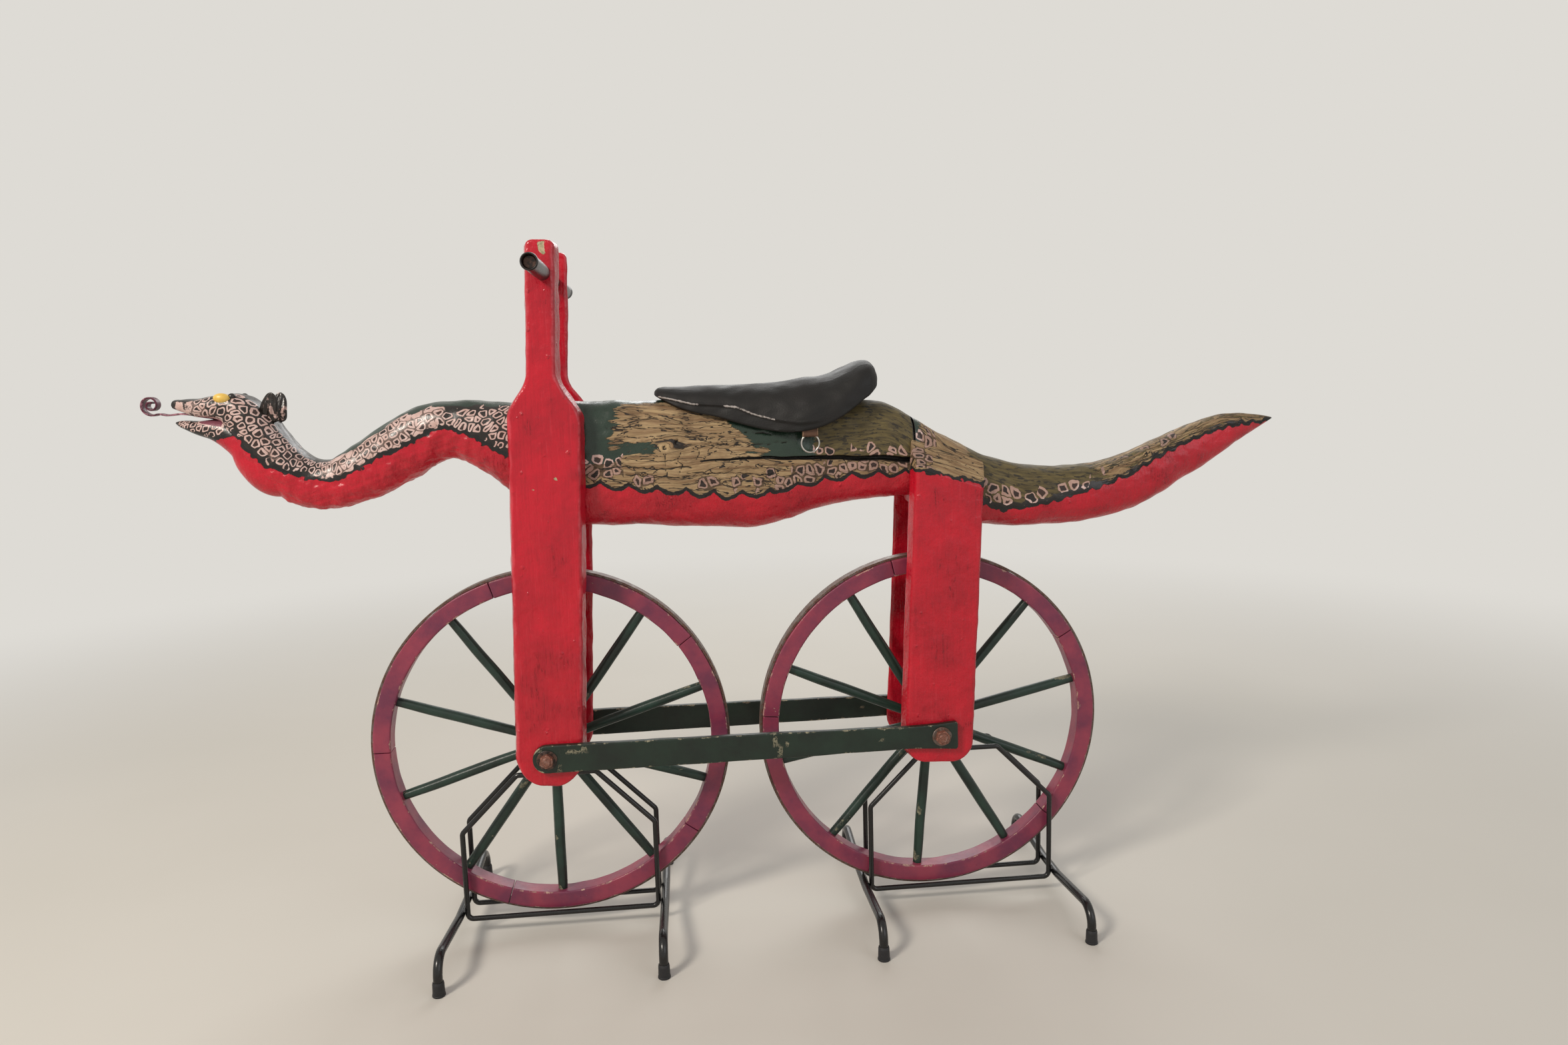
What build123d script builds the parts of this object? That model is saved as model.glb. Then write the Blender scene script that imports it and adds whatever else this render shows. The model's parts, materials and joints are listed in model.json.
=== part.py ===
from build123d import *
from math import radians, tan
import os

# A wooden running machine with a carved serpent for a body, parked on two display stands.
# Millimetres. +Z is up, the head points to -X, the left side is -Y, the floor is Z = 0.
# X = 0 is midway between the tongue and the tail's tip, Y = 0 is the middle plane.

# Wheels
wheel_radius = 310.0
wheel_gap = 54.0             # between the two wheels
wheel_lift = 32.0            # floor to the lowest point of a wheel
tyre_thickness = 4.0
tyre_width = 24.0
felloe_width = 34.0
felloe_depth = 30.0
felloe_edge = 3.0            # bevel round the felloes' outer edges
felloe_gap = 0.8             # open joint between two felloes
felloe_count = 5
spoke_count = 10
spoke_radius = 9.0
tenon_radius = 6.0
tenon_length = 14.0
hub_radius = 45.0
hub_waist = 68.0             # length of the hub's straight middle
hub_end_radius = 34.0
hub_side_gap = 6.0           # between the hub's end and a board
front_spoke_turn = 0.0       # degrees, clockwise from straight up as seen from the left
rear_spoke_turn = 5.0

# Frame of boards and bars
board_thickness = 30.0
trunk_flat = 56.0            # middle plane to the flats that the boards are fixed to
board_lean = 2.6             # degrees that the boards lean back
front_board_width = 104.0
front_board_shoulder_width = 114.0
front_board_neck = 44.0
front_board_shoulder = 201.0     # belly line to where the shoulder starts
front_board_neck_start = 263.0
front_board_top = 481.0
rear_board_width = 118.0
rear_board_foot = 52.0       # axle to the rear board's lower end
rear_board_corner = 44.0
rear_board_top = 125.0       # belly line to its upper end, at the middle of its inner face
rear_board_chamfer = 45.0    # height of the chamfer on its upper end
rear_board_slope = 15.5      # degrees that this end falls to the rear
bar_thickness = 11.0
bar_front_height = 49.0
bar_rear_height = 55.0
bar_overhang = 29.0          # rear axle to the bar's square end
axle_radius = 8.0
axle_stub = 3.0              # thread that shows past the nut
nut_width = 24.0             # across flats
nut_thickness = 9.0
washer_radius = 17.0
washer_thickness = 2.5
handle_drop = 52.0           # front board's upper end to the handle's centre
handle_length = 452.0
handle_radius = 10.0
grip_radius = 13.5
grip_hollow = 10.0           # how far the rod ends inside the grip

# Serpent, in heights above the lowest line of its belly
belly_clearance = 59.0       # top of the wheels to the belly's lowest line
tongue_reach = 630.0         # front axle to the foremost point of the tongue
tail_reach = 641.0           # rear axle to the tail's tip
seam_ahead = 33.0            # rear axle to the saw cut between trunk and tail
seam_gap = 0.6
ridge_front = 225.0          # height of the back above the front axle
ridge_fall = 0.0202          # fall of the back for each millimetre to the rear
trunk_bulge = 10.0           # how far its middle stands out past the flats

# Serpent's head: distances ahead of the front axle, and heights above the belly line
mouth_corner = (485.0, 206.0)
jaw_floor = (600.0, 212.0)
mouth_roof = [(539.0, 217.0), (575.0, 234.0), (600.0, 243.0)]
eye_radius = 13.0
eye_place = (490.0, 32.0, 239.0)
ear_points = [(443, 225), (419, 253), (406, 243), (406, 215)]
ear_offset = 26.0
ear_thickness = 12.0
tongue_thickness = 3.0
tongue_width = 14.0
tongue_curl = 16.0
tongue_root = 40.0           # mouth's corner to the tongue's root

# Saddle
saddle_length = 381.0
saddle_gap_to_axle = 90.0    # rear axle to the saddle's rear end
saddle_side_gap = 1.5        # between the saddle's skirts and the trunk
ring_along = 255.0           # saddle's nose to the rings
ring_side_gap = 13.0         # trunk's side to a ring
ring_height = 145.0
ring_radius = 15.0
ring_wire = 1.6
tab_width = 26.0
tab_thickness = 5.0
tab_height = 24.0
tab_rise = 28.0              # ring's centre to its tab's upper end

# Stands
hoop_rod = 4.5
hoop_side_gap = 6.5          # between a hoop and the felloes
hoop_half_width = 167.0
hoop_half_top = 68.0
hoop_shoulder = 100.0        # drop from the hoop's top to its posts
hoop_floor_gap = 34.0        # floor to the centre of a hoop's lower rod
hoop_bend = 10.0
leg_tube = 7.5
leg_shoulder_height = 62.0
leg_level_half = 40.0        # half of the level stretch between the hoops
leg_half_span = 200.0
leg_bend = 30.0
leg_rise_bend = 90.0
foot_height = 24.0
foot_radius = 10.5
foot_top_radius = 8.8
foot_depth = 16.0            # how far a leg stands in its foot
front_stand_shift = 4.0      # front axle to the middle of its stand
rear_stand_shift = 52.0

# Clearances
running_fit = 0.3
close_fit = 0.2
slip_fit = 0.1

# Places worked out from the sizes
axle_height = wheel_radius + wheel_lift
wheelbase = 2 * wheel_radius + wheel_gap
front_axle_x = (tongue_reach - wheelbase - tail_reach) / 2
rear_axle_x = front_axle_x + wheelbase
belly_height = axle_height + wheel_radius + belly_clearance
belly_rise = belly_height - axle_height
handle_height = belly_rise + front_board_top - handle_drop
trunk_half = trunk_flat + trunk_bulge
ring_side = trunk_half + ring_side_gap
board_outer = trunk_flat + board_thickness
bar_outer = board_outer + bar_thickness
felloe_outer = wheel_radius - tyre_thickness - slip_fit
felloe_inner = felloe_outer - felloe_depth
hub_half_length = trunk_flat - hub_side_gap
axle_half_length = bar_outer + washer_thickness + nut_thickness + axle_stub
seam_x = rear_axle_x - seam_ahead
trunk_length = seam_x - front_axle_x
tail_length = seam_ahead + tail_reach - seam_gap
hoop_offset = felloe_width / 2 + hoop_side_gap + hoop_rod
hoop_top = axle_height - hub_radius - running_fit - hoop_rod
leg_middle_height = hoop_floor_gap + hoop_bend


def polygon(*points):
    return make_face(Polyline(*points, close=True))


def turned(*points):
    """A solid turned about the Y axis from (radius, y) points."""
    return revolve(polygon(*points), Axis.Y)


def rod(radius, half_length):
    """A round bar along Y, centred on the middle plane."""
    return Rot(90, 0, 0) * Cylinder(radius, 2 * half_length)


def slab(outline, inner, outer, side):
    """An outline in X and Z as a slab from inner to outer, on the side -1 left or 1 right."""
    start = -inner if side < 0 else outer
    return Pos(0, start, 0) * extrude(Plane.XZ * outline, outer - inner)


def axle_place(x, turn=0.0):
    return Pos(x, 0, axle_height) * Rot(0, turn, 0)


def spoke(radius, inner, outer):
    return Pos(0, 0, (inner + outer) / 2) * Cylinder(radius, outer - inner)


def wheel_parts(turn):
    """Hub, spokes, felloes and tyre of one wheel, about the Y axis."""
    angles = [turn + 360.0 / spoke_count * i for i in range(spoke_count)]
    mortise_radius = tenon_radius + slip_fit
    mortises = [
        Rot(0, a, 0) * spoke(mortise_radius, hub_radius - tenon_length, felloe_inner + tenon_length)
        for a in angles
    ]
    waist = hub_waist / 2
    hub = turned(
        (axle_radius + running_fit, -hub_half_length), (hub_end_radius, -hub_half_length),
        (hub_radius, -waist), (hub_radius, waist),
        (hub_end_radius, hub_half_length), (axle_radius + running_fit, hub_half_length),
    )
    half, edge = felloe_width / 2, felloe_edge
    rim = turned(
        (felloe_inner, -half), (felloe_outer - edge, -half), (felloe_outer, edge - half),
        (felloe_outer, half - edge), (felloe_outer - edge, half), (felloe_inner, half),
    )
    for mortise in mortises:
        hub -= mortise
        rim -= mortise
    joint_turn = turn - 180.0 / spoke_count
    for i in range(felloe_count):
        cut = Pos(0, 0, wheel_radius) * Box(felloe_gap, 2 * felloe_width, wheel_radius)
        rim -= Rot(0, joint_turn + 360.0 / felloe_count * i, 0) * cut
    # the shoulders stop short of the curved faces that they meet
    shoulder_outer = (felloe_inner**2 - spoke_radius**2) ** 0.5 - slip_fit
    bar = spoke(spoke_radius, hub_radius + slip_fit, shoulder_outer)
    end = tenon_length - slip_fit
    bar += spoke(tenon_radius, hub_radius - end, felloe_inner + end)
    spokes = [Rot(0, a, 0) * bar for a in angles]
    tyre = turned(
        (wheel_radius - tyre_thickness, -tyre_width / 2), (wheel_radius, -tyre_width / 2),
        (wheel_radius, tyre_width / 2), (wheel_radius - tyre_thickness, tyre_width / 2),
    )
    return {"hub": hub, "spokes": spokes, "felloes": rim.solids(), "tyre": tyre}


def front_board(side):
    """A bottle-shaped board: round foot on the axle, shoulders, and a neck for the handle."""
    foot, wide, neck = front_board_width / 2, front_board_shoulder_width / 2, front_board_neck / 2
    shoulder = belly_rise + front_board_shoulder
    neck_start = belly_rise + front_board_neck_start
    top = belly_rise + front_board_top
    outline = polygon(
        (-foot, 0), (foot, 0), (wide, shoulder), (neck, neck_start),
        (neck, top), (-neck, top), (-neck, neck_start), (-wide, shoulder),
    )
    shoulders = outline.vertices().filter_by_position(Axis.Y, shoulder, neck_start)
    outline = fillet(shoulders, front_board_neck)
    outline = fillet(outline.vertices().group_by(Axis.Y)[-1], front_board_neck / 4)
    outline += Circle(foot)
    outline -= Circle(axle_radius + close_fit)
    outline -= Pos(0, handle_height) * Circle(handle_radius + close_fit)
    board = slab(outline, trunk_flat, board_outer, side)
    return axle_place(front_axle_x, board_lean) * board


def rear_board(side):
    """A shorter board whose upper end slopes to the rear and is chamfered to meet the tail."""
    half = rear_board_width / 2
    top = belly_rise + rear_board_top
    fall = half * tan(radians(rear_board_slope))
    outline = polygon(
        (-half, -rear_board_foot), (half, -rear_board_foot), (half, top - fall), (-half, top + fall)
    )
    outline = fillet(outline.vertices().group_by(Axis.Y)[0], rear_board_corner)
    outline -= Circle(axle_radius + close_fit)
    board = slab(outline, trunk_flat, board_outer, side)
    far = 2 * board_outer
    wedge = Plane.YZ * polygon(
        (side * trunk_flat, 0), (side * board_outer, -rear_board_chamfer),
        (side * far, -rear_board_chamfer), (side * far, far), (side * trunk_flat, far),
    )
    wedge = Pos(0, 0, top) * Rot(0, rear_board_slope, 0) * extrude(wedge, 2 * half, both=True)
    return axle_place(rear_axle_x, board_lean) * (board - wedge)


def link_bar(side):
    """The green bar outside the boards, round in front and flared and square behind."""
    front, rear = bar_front_height / 2, bar_rear_height / 2
    outline = Circle(front) + polygon(
        (0, -front), (wheelbase + bar_overhang, -rear), (wheelbase + bar_overhang, rear), (0, front)
    )
    outline -= Circle(axle_radius + close_fit)
    outline -= Pos(wheelbase, 0) * Circle(axle_radius + close_fit)
    return axle_place(front_axle_x) * slab(outline, board_outer, bar_outer, side)


def axle(x):
    return axle_place(x) * rod(axle_radius, axle_half_length)


def nut(x, side):
    """A washer and a hexagonal nut in one, on the end of an axle."""
    bore = Circle(axle_radius + slip_fit)
    washer = slab(Circle(washer_radius) - bore, bar_outer, bar_outer + washer_thickness, side)
    hexagon = RegularPolygon(nut_width / 2, 6, major_radius=False) - bore
    inner = bar_outer + washer_thickness
    return axle_place(x) * (washer + slab(hexagon, inner, inner + nut_thickness, side))


def handle_place():
    return axle_place(front_axle_x, board_lean) * Pos(0, 0, handle_height)


def handlebar():
    return handle_place() * rod(handle_radius, handle_length / 2 - grip_hollow)


def grip(side):
    outline = Circle(grip_radius) - Circle(handle_radius + close_fit)
    return handle_place() * slab(outline, board_outer + close_fit, handle_length / 2, side)


def section(x, low, high, half_width, roundness=0.82):
    """A rounded rectangle across the serpent at x, between two heights above the belly line."""
    radius = roundness * min(half_width, (high - low) / 2)
    face = RectangleRounded(2 * half_width, high - low, radius)
    return Plane(origin=(x, 0, belly_height + (low + high) / 2), x_dir=(0, 1, 0), z_dir=(1, 0, 0)) * face


def ridge(distance):
    """Height of the back at a distance behind the front axle."""
    return ridge_front - ridge_fall * distance


def trunk():
    # share of the trunk's length, lower height, fall below the ridge, half width
    stations = [
        (0.00, 15, 0, trunk_flat), (0.15, 15, 0, trunk_flat), (0.27, 12, 0, trunk_half - 2),
        (0.50, 0, 0, trunk_half), (0.66, 12, 0, trunk_half - 2), (0.80, 35, 0, trunk_half - 4),
        (0.92, 43, 8, trunk_flat), (1.00, 45, 27, trunk_flat),
    ]
    sections = []
    for share, low, drop, half_width in stations:
        distance = share * trunk_length
        sections.append(section(front_axle_x + distance, low, ridge(distance) - drop, half_width))
    return loft(sections, ruled=True)


def tail():
    # share of the tail's length, lower height, upper height, half width
    stations = [
        (0.00, 31, 185, trunk_flat), (0.09, 3, 150, trunk_flat), (0.18, -11, 117, trunk_flat),
        (0.30, -16, 91, 52), (0.42, -15, 87, 47), (0.57, 1, 103, 42), (0.70, 39, 135, 36),
        (0.81, 82, 162, 28), (0.91, 125, 171, 18), (0.98, 151, 167, 8), (1.00, 160, 166, 3),
    ]
    sections = [
        section(seam_x + seam_gap + share * tail_length, low, high, half_width)
        for share, low, high, half_width in stations
    ]
    return loft(sections, ruled=True)


def ahead(distance, height):
    """A point ahead of the front axle, as X and Z."""
    return (front_axle_x - distance, belly_height + height)


def slice_y(outline, middle, width):
    return Pos(0, middle + width / 2, 0) * extrude(Plane.XZ * outline, width)


def eye(side, radius=eye_radius):
    x, z = ahead(eye_place[0], eye_place[2])
    return Pos(x, side * eye_place[1], z) * Sphere(radius)


def head_and_neck():
    # distance ahead of the front axle, lower height, upper height, half width
    stations = [
        (584, 198, 243, 15), (549, 185, 246, 27), (500, 157, 247, 38), (455, 110, 238, 42),
        (417, 68, 234, 41), (395, 60, 176, 40), (380, 58, 152, 39), (351, 56, 137, 38),
        (315, 59, 147, 39), (280, 66, 171, 41), (222, 92, 208, 44), (181, 120, 225, 46),
        (129, 135, 230, 48), (97, 128, 229, 50), (48, 97, 226, trunk_flat), (0, 71, 225, trunk_flat),
    ]
    body = loft([section(front_axle_x - s, low, high, w) for s, low, high, w in stations], ruled=True)
    mouth = polygon(*[ahead(*p) for p in [mouth_corner, *mouth_roof, jaw_floor]])
    body -= slice_y(mouth, 0, 2 * trunk_half)
    ear = polygon(*[ahead(*p) for p in ear_points])
    for side in (-1, 1):
        body += slice_y(ear, side * ear_offset, ear_thickness)
        body -= eye(side, eye_radius + slip_fit)
    return body


def tongue():
    """A thin strip along the floor of the mouth that curls up past the jaw."""
    corner, floor = ahead(*mouth_corner), ahead(*jaw_floor)
    slope = (floor[1] - corner[1]) / (corner[0] - floor[0])
    tip_x = front_axle_x - tongue_reach + tongue_curl
    low = [(x, floor[1] + (floor[0] - x) * slope + slip_fit) for x in (corner[0] - tongue_root, tip_x)]
    strip = polygon(*low, *[(x, z + tongue_thickness) for x, z in reversed(low)])
    centre = Pos(tip_x, low[1][1] + tongue_curl)
    inner = tongue_curl - tongue_thickness
    opening = Pos(tongue_curl / 2, -tongue_curl / 2) * Rectangle(tongue_curl, tongue_curl)
    curl = Circle(tongue_curl) - Circle(inner) - opening
    outline = strip + centre * curl
    return slice_y(outline, 0, tongue_width)


def saddle_x(s):
    """X at a distance s behind the saddle's nose."""
    return rear_axle_x - saddle_gap_to_axle - saddle_length + s


def saddle():
    """A leather seat: side outline met by plan outline, hollowed to sit over the trunk."""
    # share of the saddle's length, height above the belly line
    side_outline = [
        (0.00, 233), (0.00, 240), (0.28, 244), (0.64, 248), (0.77, 257), (0.86, 271), (0.92, 283),
        (0.98, 274), (1.00, 257), (0.95, 217), (0.79, 176), (0.61, 162), (0.37, 184), (0.14, 202),
        (0.06, 215),
    ]
    # share of the saddle's length, half width
    plan_outline = [
        (0.00, 16), (0.13, 30), (0.29, 45), (0.45, 66), (0.60, 85), (0.76, 92), (0.92, 82), (1.00, 45),
    ]
    profile = polygon(*[(saddle_x(s * saddle_length), belly_height + h) for s, h in side_outline])
    right = [(saddle_x(s * saddle_length), w) for s, w in plan_outline]
    plan = polygon(*right, *[(x, -w) for x, w in reversed(right)])
    full_height = 2 * ridge_front
    seat = slice_y(profile, 0, full_height) & (Pos(0, 0, belly_height) * extrude(plan, full_height))
    channel = []
    for x in (saddle_x(0) - saddle_gap_to_axle, rear_axle_x):
        high = ridge(x - front_axle_x) + running_fit
        channel.append(section(x, high - ridge_front, high, trunk_half + saddle_side_gap))
    return seat - loft(channel, ruled=True)


def ring(side, wire=ring_wire):
    place = Pos(saddle_x(ring_along), side * ring_side, belly_height + ring_height)
    return place * Rot(90, 0, 0) * Torus(ring_radius, wire)


def ring_tab(side, seat):
    """A folded leather tab under the saddle's edge, with the ring through it."""
    top = belly_height + ring_height + tab_rise
    block = Box(tab_width, tab_thickness, tab_height, align=(Align.CENTER, Align.CENTER, Align.MAX))
    block = Pos(saddle_x(ring_along), side * ring_side, top) * block
    return (block - ring(side, ring_wire + slip_fit)) - seat


def bent_rod(points, bend, radius, plane, closed=False):
    """A round rod along straight runs and tangent bends in a plane."""
    path = plane * FilletPolyline(*points, radius=bend, close=closed)
    return sweep(Plane(origin=path @ 0, z_dir=path % 0) * Circle(radius), path)


def hoop(x, side):
    """A closed loop of rod beside the wheel: lower rod, two posts, shoulders and a level top."""
    wide, top = hoop_half_width, hoop_half_top
    shoulder = hoop_top - hoop_shoulder
    points = [
        (wide, hoop_floor_gap), (wide, shoulder), (top, hoop_top),
        (-top, hoop_top), (-wide, shoulder), (-wide, hoop_floor_gap),
    ]
    plane = Plane(origin=(x, side * hoop_offset, 0), x_dir=(1, 0, 0), z_dir=(0, -1, 0))
    return bent_rod(points, hoop_bend, hoop_rod, plane, closed=True)


def leg(x):
    """A tube across the stand, bent down to a foot at each end."""
    low = foot_height - foot_depth
    left = [
        (-leg_half_span, low), (-leg_half_span, leg_shoulder_height),
        (-leg_level_half, leg_middle_height),
    ]
    points = left + [(-y, z) for y, z in reversed(left)]
    bends = [leg_bend, leg_rise_bend, leg_rise_bend, leg_bend]
    plane = Plane(origin=(x, 0, 0), x_dir=(0, 1, 0), z_dir=(1, 0, 0))
    return bent_rod(points, bends, leg_tube, plane)


def foot(x, side):
    cup = Cone(foot_radius, foot_top_radius, foot_height, align=(Align.CENTER, Align.CENTER, Align.MIN))
    bore = Cylinder(leg_tube + slip_fit, foot_depth + slip_fit, align=(Align.CENTER, Align.CENTER, Align.MAX))
    return Pos(x, side * leg_half_span, 0) * (cup - Pos(0, 0, foot_height) * bore)


def stand_parts(x):
    """Two hoops, two legs and four feet of one stand."""
    leg_offset = hoop_half_width + hoop_rod + leg_tube + slip_fit
    places = [x - leg_offset, x + leg_offset]
    return {
        "left_hoop": hoop(x, -1),
        "right_hoop": hoop(x, 1),
        "front_leg": leg(places[0]),
        "rear_leg": leg(places[1]),
        "feet": [foot(place, side) for place in places for side in (-1, 1)],
    }


def build():
    seat = saddle()
    nodes = {
        "serpent_head_and_neck": head_and_neck(),
        "serpent_tongue": tongue(),
        "serpent_trunk": trunk(),
        "serpent_tail": tail(),
        "handlebar": handlebar(),
        "saddle": seat,
        "saddle_rings": [ring(side) for side in (-1, 1)],
        "saddle_ring_tabs": [ring_tab(side, seat) for side in (-1, 1)],
        "front_axle": axle(front_axle_x),
        "rear_axle": axle(rear_axle_x),
    }
    for name, side in (("left", -1), ("right", 1)):
        nodes[f"{name}_eye"] = eye(side)
        nodes[f"{name}_front_board"] = front_board(side)
        nodes[f"{name}_rear_board"] = rear_board(side)
        nodes[f"{name}_link_bar"] = link_bar(side)
        nodes[f"{name}_grip"] = grip(side)
        nodes[f"{name}_front_nut"] = nut(front_axle_x, side)
        nodes[f"{name}_rear_nut"] = nut(rear_axle_x, side)
    ends = (
        ("front", front_axle_x, front_spoke_turn, front_stand_shift),
        ("rear", rear_axle_x, rear_spoke_turn, rear_stand_shift),
    )
    for name, x, turn, shift in ends:
        for part, shape in wheel_parts(turn).items():
            solids = shape if isinstance(shape, list) else [shape]
            nodes[f"{name}_wheel_{part}"] = [axle_place(x) * solid for solid in solids]
        for part, shape in stand_parts(x + shift).items():
            nodes[f"{name}_stand_{part}"] = shape
    return nodes


os.makedirs("parts", exist_ok=True)
for name, shape in build().items():
    if isinstance(shape, list):
        shape = shape[0] if len(shape) == 1 else Compound(children=shape)
    export_step(shape, f"parts/{name}.step")
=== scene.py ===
import json
from math import cos, pi, radians, sin, sqrt

import bpy
import numpy as np
from mathutils import Matrix, Vector


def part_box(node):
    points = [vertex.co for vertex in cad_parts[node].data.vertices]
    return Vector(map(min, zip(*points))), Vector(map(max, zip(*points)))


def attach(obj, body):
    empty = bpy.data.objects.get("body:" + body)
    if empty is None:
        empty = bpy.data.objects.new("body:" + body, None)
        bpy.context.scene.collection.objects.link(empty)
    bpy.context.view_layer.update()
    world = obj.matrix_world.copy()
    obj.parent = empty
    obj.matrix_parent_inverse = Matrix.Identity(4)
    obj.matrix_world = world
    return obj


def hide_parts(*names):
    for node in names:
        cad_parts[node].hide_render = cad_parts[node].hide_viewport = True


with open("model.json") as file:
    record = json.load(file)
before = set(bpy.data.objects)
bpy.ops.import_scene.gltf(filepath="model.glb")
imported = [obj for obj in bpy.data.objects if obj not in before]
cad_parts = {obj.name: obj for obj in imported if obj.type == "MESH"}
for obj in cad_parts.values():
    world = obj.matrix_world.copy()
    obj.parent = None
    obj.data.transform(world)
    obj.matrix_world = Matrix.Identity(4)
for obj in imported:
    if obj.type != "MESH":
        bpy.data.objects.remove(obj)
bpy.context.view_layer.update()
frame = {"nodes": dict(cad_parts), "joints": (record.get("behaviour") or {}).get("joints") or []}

# An old wooden running machine: a carved and painted serpent on two wheels, parked on two rod stands.
# Lengths are millimetres until a mesh is made. +X is the tail's side, -Y the left side, +Z up.
MM = 0.001


def box(node):
    """Lowest and highest corner of a node, in millimetres."""
    return [np.array(corner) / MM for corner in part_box(node)]


# Places read from the frame
axles = {joint["child"]: np.array(joint["pos_m"]) / MM for joint in frame["joints"]}
front_axle, rear_axle = axles["front_wheel"], axles["rear_wheel"]
# lengths and heights in the side view start at the front axle
datum = front_axle * [1, 0, 1]
wheelbase = rear_axle[0] - front_axle[0]
wheel_parts = [box(f"front_wheel_{part}")[1] for part in ("tyre", "felloes", "hub")]
wheel_radius, felloe_outer, hub_radius = (corner[2] - front_axle[2] for corner in wheel_parts)
tyre_half_width, felloe_half_width, hub_half_length = (corner[1] for corner in wheel_parts)
axle_half_length, handle_half_length = (box(node)[1][1] for node in ("front_axle", "handlebar"))
board_inner, grip_inner = (-box(f"left_{part}")[1][1] for part in ("front_board", "grip"))
board_outer, bar_outer, nut_outer, grip_outer = (
    -box(f"left_{part}")[0][1] for part in ("front_board", "link_bar", "front_nut", "grip"))
bar_rear = box("left_link_bar")[1][0] - rear_axle[0]
handle, ring_middle = (sum(box(node)) / 2 for node in ("handlebar", "saddle_rings"))
grip_radius, handle_radius, ring_half_height = (
    (box(node)[1][2] - box(node)[0][2]) / 2 for node in ("left_grip", "handlebar", "saddle_rings"))
tab_low, tab_high = box("saddle_ring_tabs")

# Sizes of this object's pieces, and how far the boards lean
felloe_depth, felloe_joint, felloe_count = 30.0, 0.9, 5
spoke_radius, spoke_count = 9.0, 10
# how far each wheel's spokes stand turned at rest, in degrees
wheel_turns = {"front_wheel": 0.0, "rear_wheel": 5.0}
board_lean, board_middle = radians(2.6), (board_inner + board_outer) / 2
board_thickness, board_foot = board_outer - board_inner, -52.0
axle_radius, nut_width = 8.0, 24.0
washer_radius, washer_thickness = 17.0, 2.5
wire_radius = 1.6
ring_side = box("saddle_rings")[1][1] - wire_radius
ring_radius = ring_half_height - wire_radius

# The saw cut's two faces across the body, from the front axle
saw_front, saw_rear = 639.8, 641.8
# how softly the painted shade on the saw cut's faces ends
saw_shade_soft = 1.2

# What comes in twos, with the sign of its side along Y
SIDES = (("left", -1), ("right", 1))
ENDS = ("front", "rear")
# Points along the trunk, the tail and the neck
BODY_ROWS = 285
# Distance into the nearest chip where nothing is chipped, and above the skin's border where none is near
NO_CHIP = -20.0
FAR_FROM_BORDER = 60.0
# The studio's pale wall
BACKDROP = "#DEDBD5"


# Shapes

def through(xs, ys, x):
    """A smooth curve through points, read at x: cubic pieces with slopes from the neighbouring points."""
    xs, ys = np.asarray(xs, float), np.asarray(ys, float)
    slope = np.gradient(ys, xs, axis=0)
    i = np.clip(np.searchsorted(xs, x) - 1, 0, len(xs) - 2)
    gap = xs[i + 1] - xs[i]
    t = np.clip((x - xs[i]) / gap, 0, 1)
    if ys.ndim > 1:
        gap, t = gap[:, None], t[:, None]
    start = (1 + 2 * t) * (1 - t) ** 2 * ys[i] + t * (1 - t) ** 2 * gap * slope[i]
    end = t * t * (3 - 2 * t) * ys[i + 1] - t * t * (1 - t) * gap * slope[i + 1]
    return start + end


def eased(share):
    """A share from 0 to 1 that starts and ends slowly: three of its squares less two of its cubes."""
    return share * share * (3 - 2 * share)


def between(value, low, high, soft):
    """1 inside a range and 0 outside it, eased over a soft edge on each side."""
    rise, fall = (np.clip(gap / soft + 0.5, 0, 1) for gap in (value - low, high - value))
    return eased(rise) * eased(fall)


def bell(value, width):
    """1 where the value is 0, falling away on both sides as a bell of that width."""
    return np.exp(-((value / width) ** 2))


def unit(vectors, least=0.0):
    """Vectors brought to length 1."""
    return vectors / (np.linalg.norm(vectors, axis=-1, keepdims=True) + least)


def stacked(x, y, z):
    """Points from three coordinates, each a number or a grid of them."""
    return np.stack(np.broadcast_arrays(x, y, z), -1)


def circle(count):
    """Angles evenly spaced round a circle."""
    return np.arange(count) * 2 * pi / count


def ripple(points, size, seed, waves=14):
    """A smooth random height, mostly from -1 to 1: seeded sine waves about one size long, added up."""
    random = np.random.default_rng(seed)
    way = unit(random.normal(size=(waves, 3)))
    length = size * random.uniform(0.7, 1.7, waves)
    phase = random.uniform(0, 2 * pi, waves)
    return np.sin(points @ (2 * pi * way / length[:, None]).T + phase).sum(-1) / sqrt(waves)


def shares(angle, power):
    """Across and up shares of a superellipse at angles from its top: sine and cosine to the power 2/power."""
    return (np.sign(share) * np.abs(share) ** (2 / power) for share in (np.sin(angle), np.cos(angle)))


def section_angles(count, power, width, height, fine=()):
    """Angles round a section from its bottom over the left side: even along it, closer at the fine ones."""
    angle = np.linspace(-pi, pi, 4001)
    across, up = shares(angle, power)
    step = np.hypot(np.diff(across * width), np.diff(up * height))
    middle = (angle[1:] + angle[:-1]) / 2
    for spot, spread, extra in fine:
        step = step * (1 + extra * bell(middle - spot, spread))
    length = np.concatenate([[0], np.cumsum(step)])
    return np.interp(np.arange(count) / count * length[-1], length, angle)


def path_length(points):
    """Length along a path in the side view, at each of its points."""
    return np.concatenate([[0], np.cumsum(np.hypot(*np.diff(points, axis=0).T))])


def from_outline(stations):
    """Rows of x, top, bottom, half width and power as x, middle height, half height, half width and power."""
    return [(x, (top + low) / 2, (top - low) / 2, wide, power) for x, top, low, wide, power in stations]


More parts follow.
